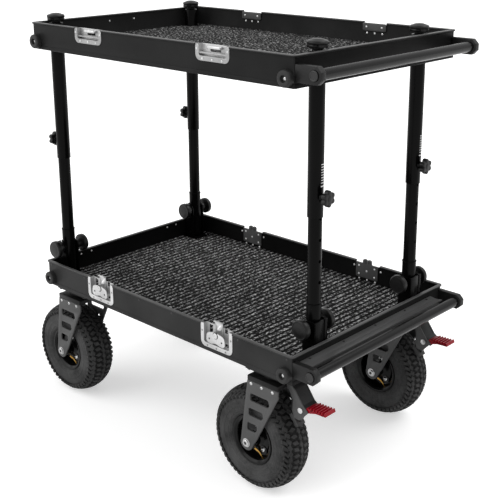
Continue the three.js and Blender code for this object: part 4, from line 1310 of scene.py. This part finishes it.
pins = [
    rod(0.01, race_top - 0.001, race_top + 0.008, 0.001),
    rod(0.006, -fork_width, fork_width, way=axle_spot @ axle_way),
    rod(0.0036, -axle_reach + 0.002, -axle_reach + 0.0032, way=axle_spot @ axle_way),
]
washer = rod(0.0108, fork_width - 0.0006, fork_width + 0.0012, 0.0004)
nut = drawn(ring_of(6, 0.01), fork_width + 0.0008, axle_reach - 0.001, 0.0006)
axle_bolt = [
    moved(washer, near_end),
    lathed([
        (0, fork_width, 0), (0.0086, fork_width, 0), (0.0086, axle_reach, 0.0022),
        (0.0042, axle_reach, 0.0004), (0.0038, axle_reach - 0.0026, 0.0002),
        (0, axle_reach - 0.0028, 0),
    ], 0.001, 3, 40, near_end),
    moved(washer, far_end),
    moved(nut, far_end),
    rod(0.0058, fork_width, axle_reach, 0.0008, way=far_end),
]

places = [
    ((x, side * fork_width, 0.2835), (0, side, 0))
    for x in (-0.0343, -0.0019, 0.0309)
    for side in (-1, 1)
]
fork_screws = heads("fork_screws", bright_steel, places, 0.0042, 0.0026, 0.0016)
for letters, node, x, y, outward in casters:
    spot = at(x, y)
    body = f"caster_{letters}"
    fitted(f"fork_{letters}", fork_coat, fork_sides, spot, body, "fork_grey", f"caster_fork_{node}")
    fitted(f"fork_crown_{letters}", race_coat, fork_crown, spot, body, "black_aluminium")
    fitted(f"caster_pins_{letters}", dark_steel, pins, spot, body, "hinge_steel")
    fitted(f"axle_bolt_{letters}", bright_steel, axle_bolt, spot, body, "chrome")
    fitted(f"fork_screws_{letters}", bright_steel, [fork_screws], spot, body, "chrome")

plate_low = race_top - 0.0024
plate = eased([(-0.06, -0.047), (0.06, -0.047), (0.06, 0.047), (-0.06, 0.047)], 0.006, 4)
plate = drawn(plate, plate_low, race_top + 0.0012, 0.0006, [ring_of(48, 0.038)])
places = [((x, y, plate_low), (0, 0, -1)) for x in (-0.0515, 0.0515) for y in (-0.0385, 0.0385)]
plate_bolts = heads("plate_bolts", dark_steel, places, 0.0062, 0.0064, 0.0026)
for name, finish, solid, slot in (
    ("caster_plate_bolts", dark_steel, plate_bolts, "hinge_steel"),
    ("caster_plates", race_coat, plate, "black_aluminium"),
):
    solids = [moved(solid, at(x, y)) for letters, node, x, y, outward in casters]
    fitted(name, finish, solids, still, "lower_frame", slot)

# Brakes
# On each front caster two cheeks bolted to the crown hold a shield and a red foot pedal with grip
# ribs, lighter red on their tops as a painted highlight and darker red between them as painted
# shade. The pedal's arm presses a rubber pad on the tyre.

pedal_coat = coated("red_pedal_coat", (122, 5, 20), (158, 12, 32), 0.34, 500.0, 0.00008, 0.18)
# Copies of the pedal red: a lighter, glossier one as a painted highlight on the rib tops, and a
# darker one as painted shade in the valleys.
ridge_highlight_coat = coated("red_ridges_painted_highlight", (150, 14, 32), (184, 40, 56), 0.3, 500.0, 0.00008, 0.3)
valley_shade_coat = coated("red_valleys_painted_shade", (38, 1, 6), (60, 3, 12), 0.4, 500.0, 0.00008, 0.05)
pad_rubber = coated("brake_pad_rubber", 30, 52, 0.6, 400.0, 0.0001)
shield_coat = coated("satin_shield_coat", 34, 50, 0.36, 600.0, 0.00006, 0.14)

pivot_reach = 0.087
pivot_z = fork_top - 0.053
pivot_spot = at(pivot_reach, 0, pivot_z)
cheek_half = 0.021
cheek_sheet = 0.003
pedal_half = cheek_half - cheek_sheet - 0.0005
pad_half = 0.0125
lever_half = 0.0045
rib_start = 0.022
rib_crest = 0.0108
pad_face = wheel_radius + 0.006
wheel_middle = (-trail - pivot_reach, wheel_radius - pivot_z)

cheek = eased([
    (fork_length - 0.012, fork_top - 0.001, 0), (fork_length + 0.014, fork_top - 0.001),
    (fork_length + 0.024, fork_top - 0.01), (0.0935, pivot_z + 0.012),
    (0.109, pivot_z + 0.001), (0.084, pivot_z - 0.0265), (0.068, pivot_z - 0.0255),
    (0.0615, pivot_z - 0.008), (0.064, pivot_z + 0.015), (fork_length + 0.006, 0.288),
    (fork_length - 0.012, fork_top - 0.012, 0),
], 0.004, 4)
cheeks = twin(cheek, cheek_half - cheek_sheet, cheek_half, 0.0008)
shield = standing(eased([
    (fork_length + 0.003, fork_top - 0.001), (fork_length + 0.013, fork_top - 0.001),
    (fork_length + 0.0225, fork_top - 0.01), (0.092, pivot_z + 0.012),
    (0.101, pivot_z + 0.0085), (0.101, pivot_z + 0.007), (0.088, pivot_z + 0.0105),
    (fork_length - 0.003, fork_top - 0.014),
], 0.0012, 2), 0.0015 - cheek_half, cheek_half - 0.0015, 0.0008)
nut = drawn(ring_of(6, 0.007), cheek_half - 0.0015, cheek_half + 0.003, 0.0005)
pedal_bolt = [
    rod(0.004, -cheek_half, cheek_half, way=pivot_spot @ axle_way),
    rod(0.007, -cheek_half - 0.003, 0.0015 - cheek_half, 0.001, way=pivot_spot @ axle_way),
    moved(nut, pivot_spot @ axle_way),
]

lever = standing(eased([
    (0.0, -0.0055, 0), (0.02, -0.002, 0.01), (0.04, 0.0042, 0.02), (0.0665, 0.0056, 0.0012),
    (0.068, 0.0098, 0.0012), (0.03, 0.0082, 0.01), (0.0195, 0.01, 0.004), (0.0, 0.0055, 0),
], 0.001, 4), -pedal_half, pedal_half, 0.0009)
barrel = lathed([
    (0.0044, -pedal_half, 0), (0.009, -pedal_half), (0.009, pedal_half), (0.0044, pedal_half, 0),
], 0.001, 3, 32, axle_way, closed=True)
shoe = arc(pad_face, 30.5, 44, 8, wheel_middle) + arc(pad_face + 0.011, 44, 30.5, 8, wheel_middle)
pad = standing(shoe, -pad_half, pad_half, 0.0016)
arm_lean = math.radians(35.5)
arm_x = wheel_middle[0] + (pad_face + 0.0065) * math.cos(arm_lean)
arm_z = wheel_middle[1] + (pad_face + 0.0065) * math.sin(arm_lean)
pedal_arm = standing([
    (-0.009, 0.0), (arm_x - 0.0045, arm_z), (arm_x + 0.0045, arm_z - 0.0045), (0.009, 0.0),
], -lever_half, lever_half, 0.0006)


def rib_plan(grow, given):
    """Grip ribs across the pedal, each a low wedge."""
    gap = grow.vector(given["Rib Pitch"], 0.0, given["Rib Climb"])
    row = {"Count": given["Rib Count"], "Offset": gap}
    row = grow.node("GeometryNodeMeshLine", {"mode": "OFFSET"}, row)
    size = grow.vector(given["Rib Thickness"], given["Rib Width"], given["Rib Height"])
    wedge = grow.node("GeometryNodeMeshCube", {}, {"Size": size})
    lean = {"Geometry": wedge, "Rotation": (0.0, math.radians(-18), 0.0)}
    wedge = grow.node("GeometryNodeTransform", {}, lean)
    return grow.node("GeometryNodeInstanceOnPoints", {}, {"Points": row, "Instance": wedge})


rib_sizes = {
    "Rib Count": 6, "Rib Pitch": 0.0078, "Rib Climb": 0.00033, "Rib Thickness": 0.0028,
    "Rib Width": 2 * pedal_half, "Rib Height": 0.0084,
}
ribs = grown("pedal_ribs", pedal_coat, rib_sizes, rib_plan)
pedal_parts = [lever, barrel, moved(ribs, at(0.0265, 0, 0.0086))]

for letters, node, x, y, outward in casters[:2]:
    spot = at(x, y)
    body = f"caster_{letters}"
    fitted(f"brake_bracket_{letters}", fork_coat, cheeks, spot, body, "fork_grey")
    fitted(f"brake_shield_{letters}", shield_coat, [shield], spot, body, "black_aluminium")
    fitted(f"brake_bolt_{letters}", bright_steel, pedal_bolt, spot, body, "chrome")
    hinge = spot @ pivot_spot
    body = f"pedal_{letters}"
    pedal = made(body, pedal_coat, *(moved(solid, hinge) for solid in pedal_parts))
    pedal.data.materials.append(ridge_highlight_coat)
    pedal.data.materials.append(valley_shade_coat)
    # Upward faces past the first rib: painted highlight above the crest height, painted shade below
    # it.
    for face in pedal.data.polygons:
        here = face.center - hinge.translation
        if face.normal.z > 0.7 and here.x > rib_start:
            face.material_index = 1 if here.z > rib_crest else 2
    fit(pedal, body, "pedal_red", f"brake_pedal_{node}")
    fitted(f"brake_pad_{letters}", pad_rubber, [pad], hinge, body, "tyre")
    fitted(f"brake_arm_{letters}", dark_steel, [pedal_arm], hinge, body, "hinge_steel")

# Wheels
# Ten-inch pneumatic tyres with rows of skewed tread blocks, on two-part pressed rims in gloss
# black, bolted together round a hub. A bent brass valve stem points out of the well.


def tyre_rubber(name, dark, light, contrast):
    """Black rubber, dusty in clouds and finely pitted."""
    finish, place = material(name)
    cloud = noise(place, 16.0, 5.0)
    fine = noise(place, 420.0, 3.0)
    speck = noise(place, 160.0, 2.0)
    dusty = (0.6 * cloud + 0.2 * fine + 0.2 * speck).step(0.5 - contrast, 0.5 + contrast)
    colour = dusty.blend(tone(dark), tone(light))
    shaded(place, colour, 0.72 - 0.1 * (cloud - 0.5), fine, 0.0003, 0.22)
    return finish


wall_rubber = tyre_rubber("tyre_rubber", 30, 68, 0.13)
tread_rubber = tyre_rubber("tread_rubber", 30, 62, 0.13)
# Painted shade: the carcass between the tread blocks takes a near-black copy of the rubber, for the
# shade in the grooves.
groove_painted_shade_rubber = tyre_rubber("groove_painted_shade_rubber", 5, 12, 0.15)
rim_gloss = coated("gloss_rim_paint", 6, 11, 0.2, 300.0, 0.00003, 0.14)
brass = plated("valve_brass", (150, 112, 50), (198, 158, 88), 0.28)

crown_centre = 0.0597
crown_curve = 0.0638


def tread_plan(grow, given):
    """Rows of skewed blocks round the tyre, each row half a block on from the next."""
    size = grow.vector(given["Block Length"], given["Block Width"], given["Block Depth"])
    cube = grow.node("GeometryNodeMeshCube", {}, {"Size": size})
    place = grow.node("GeometryNodeInputPosition")
    x, y, z = (grow.node("ShaderNodeSeparateXYZ", {}, {0: place}, output=k) for k in range(3))
    taper = 1.0 - given["Block Taper"] * z.step(-0.0001, 0.0001)
    slant = grow.vector(x * taper + given["Block Skew"] * y, y * taper, z)
    cube = grow.node("GeometryNodeSetPosition", {}, {"Geometry": cube, "Position": slant})
    net = {"Vertices X": given["Blocks Round"], "Vertices Y": given["Rows"]}
    net = grow.node("GeometryNodeMeshGrid", {}, net)
    count = grow.node("GeometryNodeInputIndex")
    row = grow.maths("FLOORED_MODULO", count, given["Rows"])
    turn = grow.maths("FLOOR", grow.maths("DIVIDE", count + 0.01, given["Rows"]))
    odd = grow.maths("FLOORED_MODULO", row, 2.0)
    angle = grow.maths("DIVIDE", 2 * math.pi * (turn + 0.5 * odd), given["Blocks Round"])
    middle = 0.5 * (given["Rows"] - 1.0)
    tilt = (row - middle) * given["Row Spread"]
    out = given["Centre Radius"] + given["Crown Radius"] * grow.maths("COSINE", tilt)
    height = given["Crown Radius"] * grow.maths("SINE", tilt)
    spot = grow.vector(out * grow.maths("SINE", angle), height, out * grow.maths("COSINE", angle))
    net = grow.node("GeometryNodeSetPosition", {}, {"Geometry": net, "Position": spot})
    way = grow.node("FunctionNodeEulerToRotation", {}, {0: grow.vector(0.0 - tilt, angle)})
    stray = grow.node("FunctionNodeRandomValue", {"data_type": "FLOAT"}, {"Seed": 7}, output=1)
    stray = given["Row Stray"] * (2.0 * stray - 1.0)
    lean = grow.vector(z=given["Row Turn"] * (2.0 * odd - 1.0) + stray)
    lean = grow.node("FunctionNodeEulerToRotation", {}, {0: lean})
    way = grow.node("FunctionNodeRotateRotation", {"rotation_space": "LOCAL"}, {0: way, 1: lean})
    put = {"Points": net, "Instance": cube, "Rotation": way}
    return grow.node("GeometryNodeInstanceOnPoints", {}, put)


tread_sizes = {
    "Blocks Round": 50, "Rows": 5, "Row Spread": 0.236, "Row Turn": 0.55, "Row Stray": 0.35,
    "Centre Radius": crown_centre, "Crown Radius": crown_curve - 0.0003,
    "Block Length": 0.0116, "Block Width": 0.0136, "Block Depth": 0.006, "Block Taper": 0.22,
    "Block Skew": 0.4,
}
lug_sizes = {
    **tread_sizes, "Rows": 2, "Row Spread": 1.26, "Row Turn": 0.35, "Row Stray": 0.1,
    "Block Length": 0.0086, "Block Width": 0.018, "Block Depth": 0.005, "Block Skew": 0.3,
    "Crown Radius": crown_curve - 0.0018,
}
tread = [
    grown("tyre_tread", tread_rubber, tread_sizes, tread_plan),
    grown("tyre_lugs", tread_rubber, lug_sizes, tread_plan),
]

half_tyre = eased([
    (0.0543, 0.0, 0), (0.0543, 0.0305, 0), (0.0613, 0.0307, 0.001), (0.064, 0.0345, 0.004),
    (0.0668, 0.0362, 0.0005), (0.0674, 0.0372, 0.0005), (0.0684, 0.037, 0.0005),
    (0.0708, 0.038, 0.001), (0.0722, 0.0391, 0.0008), (0.0738, 0.0385, 0.0008),
    (0.083, 0.0401, 0.006), (0.0842, 0.0407, 0.0006), (0.0856, 0.0401, 0.0006),
    (0.093, 0.0397, 0.006), (0.0938, 0.0401, 0.0004), (0.0946, 0.0395, 0.0004),
    (0.099, 0.0391, 0.01), (0.1085, 0.0357, 0.006), (0.116, 0.0295, 0.01),
    (0.121, 0.018, 0.012), (0.1235, 0.0, 0),
], 0.001, 3, closed=False)
carcass = turned(half_tyre + flipped(half_tyre[-2:0:-1]), 96, axle_way)

half_rim = eased([
    (0.0066, 0.04, 0), (0.017, 0.04, 0.0015), (0.017, 0.0215, 0.002), (0.025, 0.0185, 0.004),
    (0.04, 0.0185, 0.003), (0.042, 0.004, 0.003), (0.05, 0.007, 0.004),
    (0.0505, 0.03, 0.004), (0.056, 0.0345, 0.002), (0.0608, 0.0346, 0.001),
    (0.0612, 0.0318, 0.0005), (0.0545, 0.0306, 0.001), (0.0535, 0.0, 0),
], 0.001, 4, closed=False)
rim = turned(half_rim + flipped(half_rim[-2::-1]), 64, axle_way)
hub_sleeve = lathed([
    (0.0068, -0.0412, 0), (0.0125, -0.0412), (0.0125, 0.0412), (0.0068, 0.0412, 0),
], 0.0006, 2, 40, axle_way, closed=True)

bolt_circle = 0.0335
rim_face = 0.0186
places = []
rim_washers = []
for k in range(3):
    angle = math.radians(-43 + 120 * k)
    for side in (-1, 1):
        spot = (bolt_circle * math.cos(angle), side * rim_face, bolt_circle * math.sin(angle))
        places.append((spot, (0, side, 0)))
        rim_washers.append(rod(0.0092, -0.001, 0.0016, 0.0004, way=at(*spot) @ side_way(side)))
rim_bolts = heads("rim_bolts", bright_steel, places, 0.0074, 0.0066, 0.0028)


def bar(path, radius, steps):
    """A round bar along a path of points, with flat ends."""
    return curve_solid(
        [path], False, dimensions="3D", bevel_depth=radius, bevel_resolution=steps,
        use_fill_caps=True,
    )


valve_root = Vector((0.02, -0.017, -0.048))
valve_knee = Vector((0.015, -0.02, -0.033))
valve_tip = Vector((0.0038, -0.024, -0.02628))
stem = [
    valve_root * (1 - t) ** 2 + valve_knee * 2 * t * (1 - t) + valve_tip * t * t
    for t in (k / 8 for k in range(9))
]
cap = [stem[-3], stem[-1] + (stem[-1] - stem[-3]) * 0.4]
valve = [bar(stem, 0.0021, 4), bar(cap, 0.0029, 5)]

groove_shade_radius = 0.106
for number, (letters, node, x, y, outward) in enumerate(casters):
    body = f"wheel_{letters}"
    axle = at(x - trail, y, wheel_radius)
    roll = axle @ Matrix.Rotation(math.radians(11 * number), 4, "Y")
    tyre = made(f"tyre_{letters}", wall_rubber, moved(carcass, roll), sharp=40)
    # Carcass faces out past the tread's root lie between the blocks and take the painted shade.
    tyre.data.materials.append(groove_painted_shade_rubber)
    for face in tyre.data.polygons:
        out = face.center - axle.translation
        if math.hypot(out.x, out.z) > groove_shade_radius:
            face.material_index = 1
    fit(tyre, body, "tyre", f"tyre_{node}")
    fitted(f"tread_{letters}", tread_rubber, tread, roll, body, "tyre", sharp=40)
    fitted(f"rim_{letters}", rim_gloss, [rim], axle, body, "rim_black", f"wheel_rim_{node}")
    fitted(f"hub_sleeve_{letters}", dark_steel, [hub_sleeve], axle, body, "chrome")
    fitted(f"rim_bolts_{letters}", bright_steel, [rim_bolts], axle, body, "chrome")
    fitted(f"rim_washers_{letters}", dark_steel, rim_washers, axle, body, "hinge_steel")
    fitted(f"valve_{letters}", brass, valve, axle, body, "chrome")
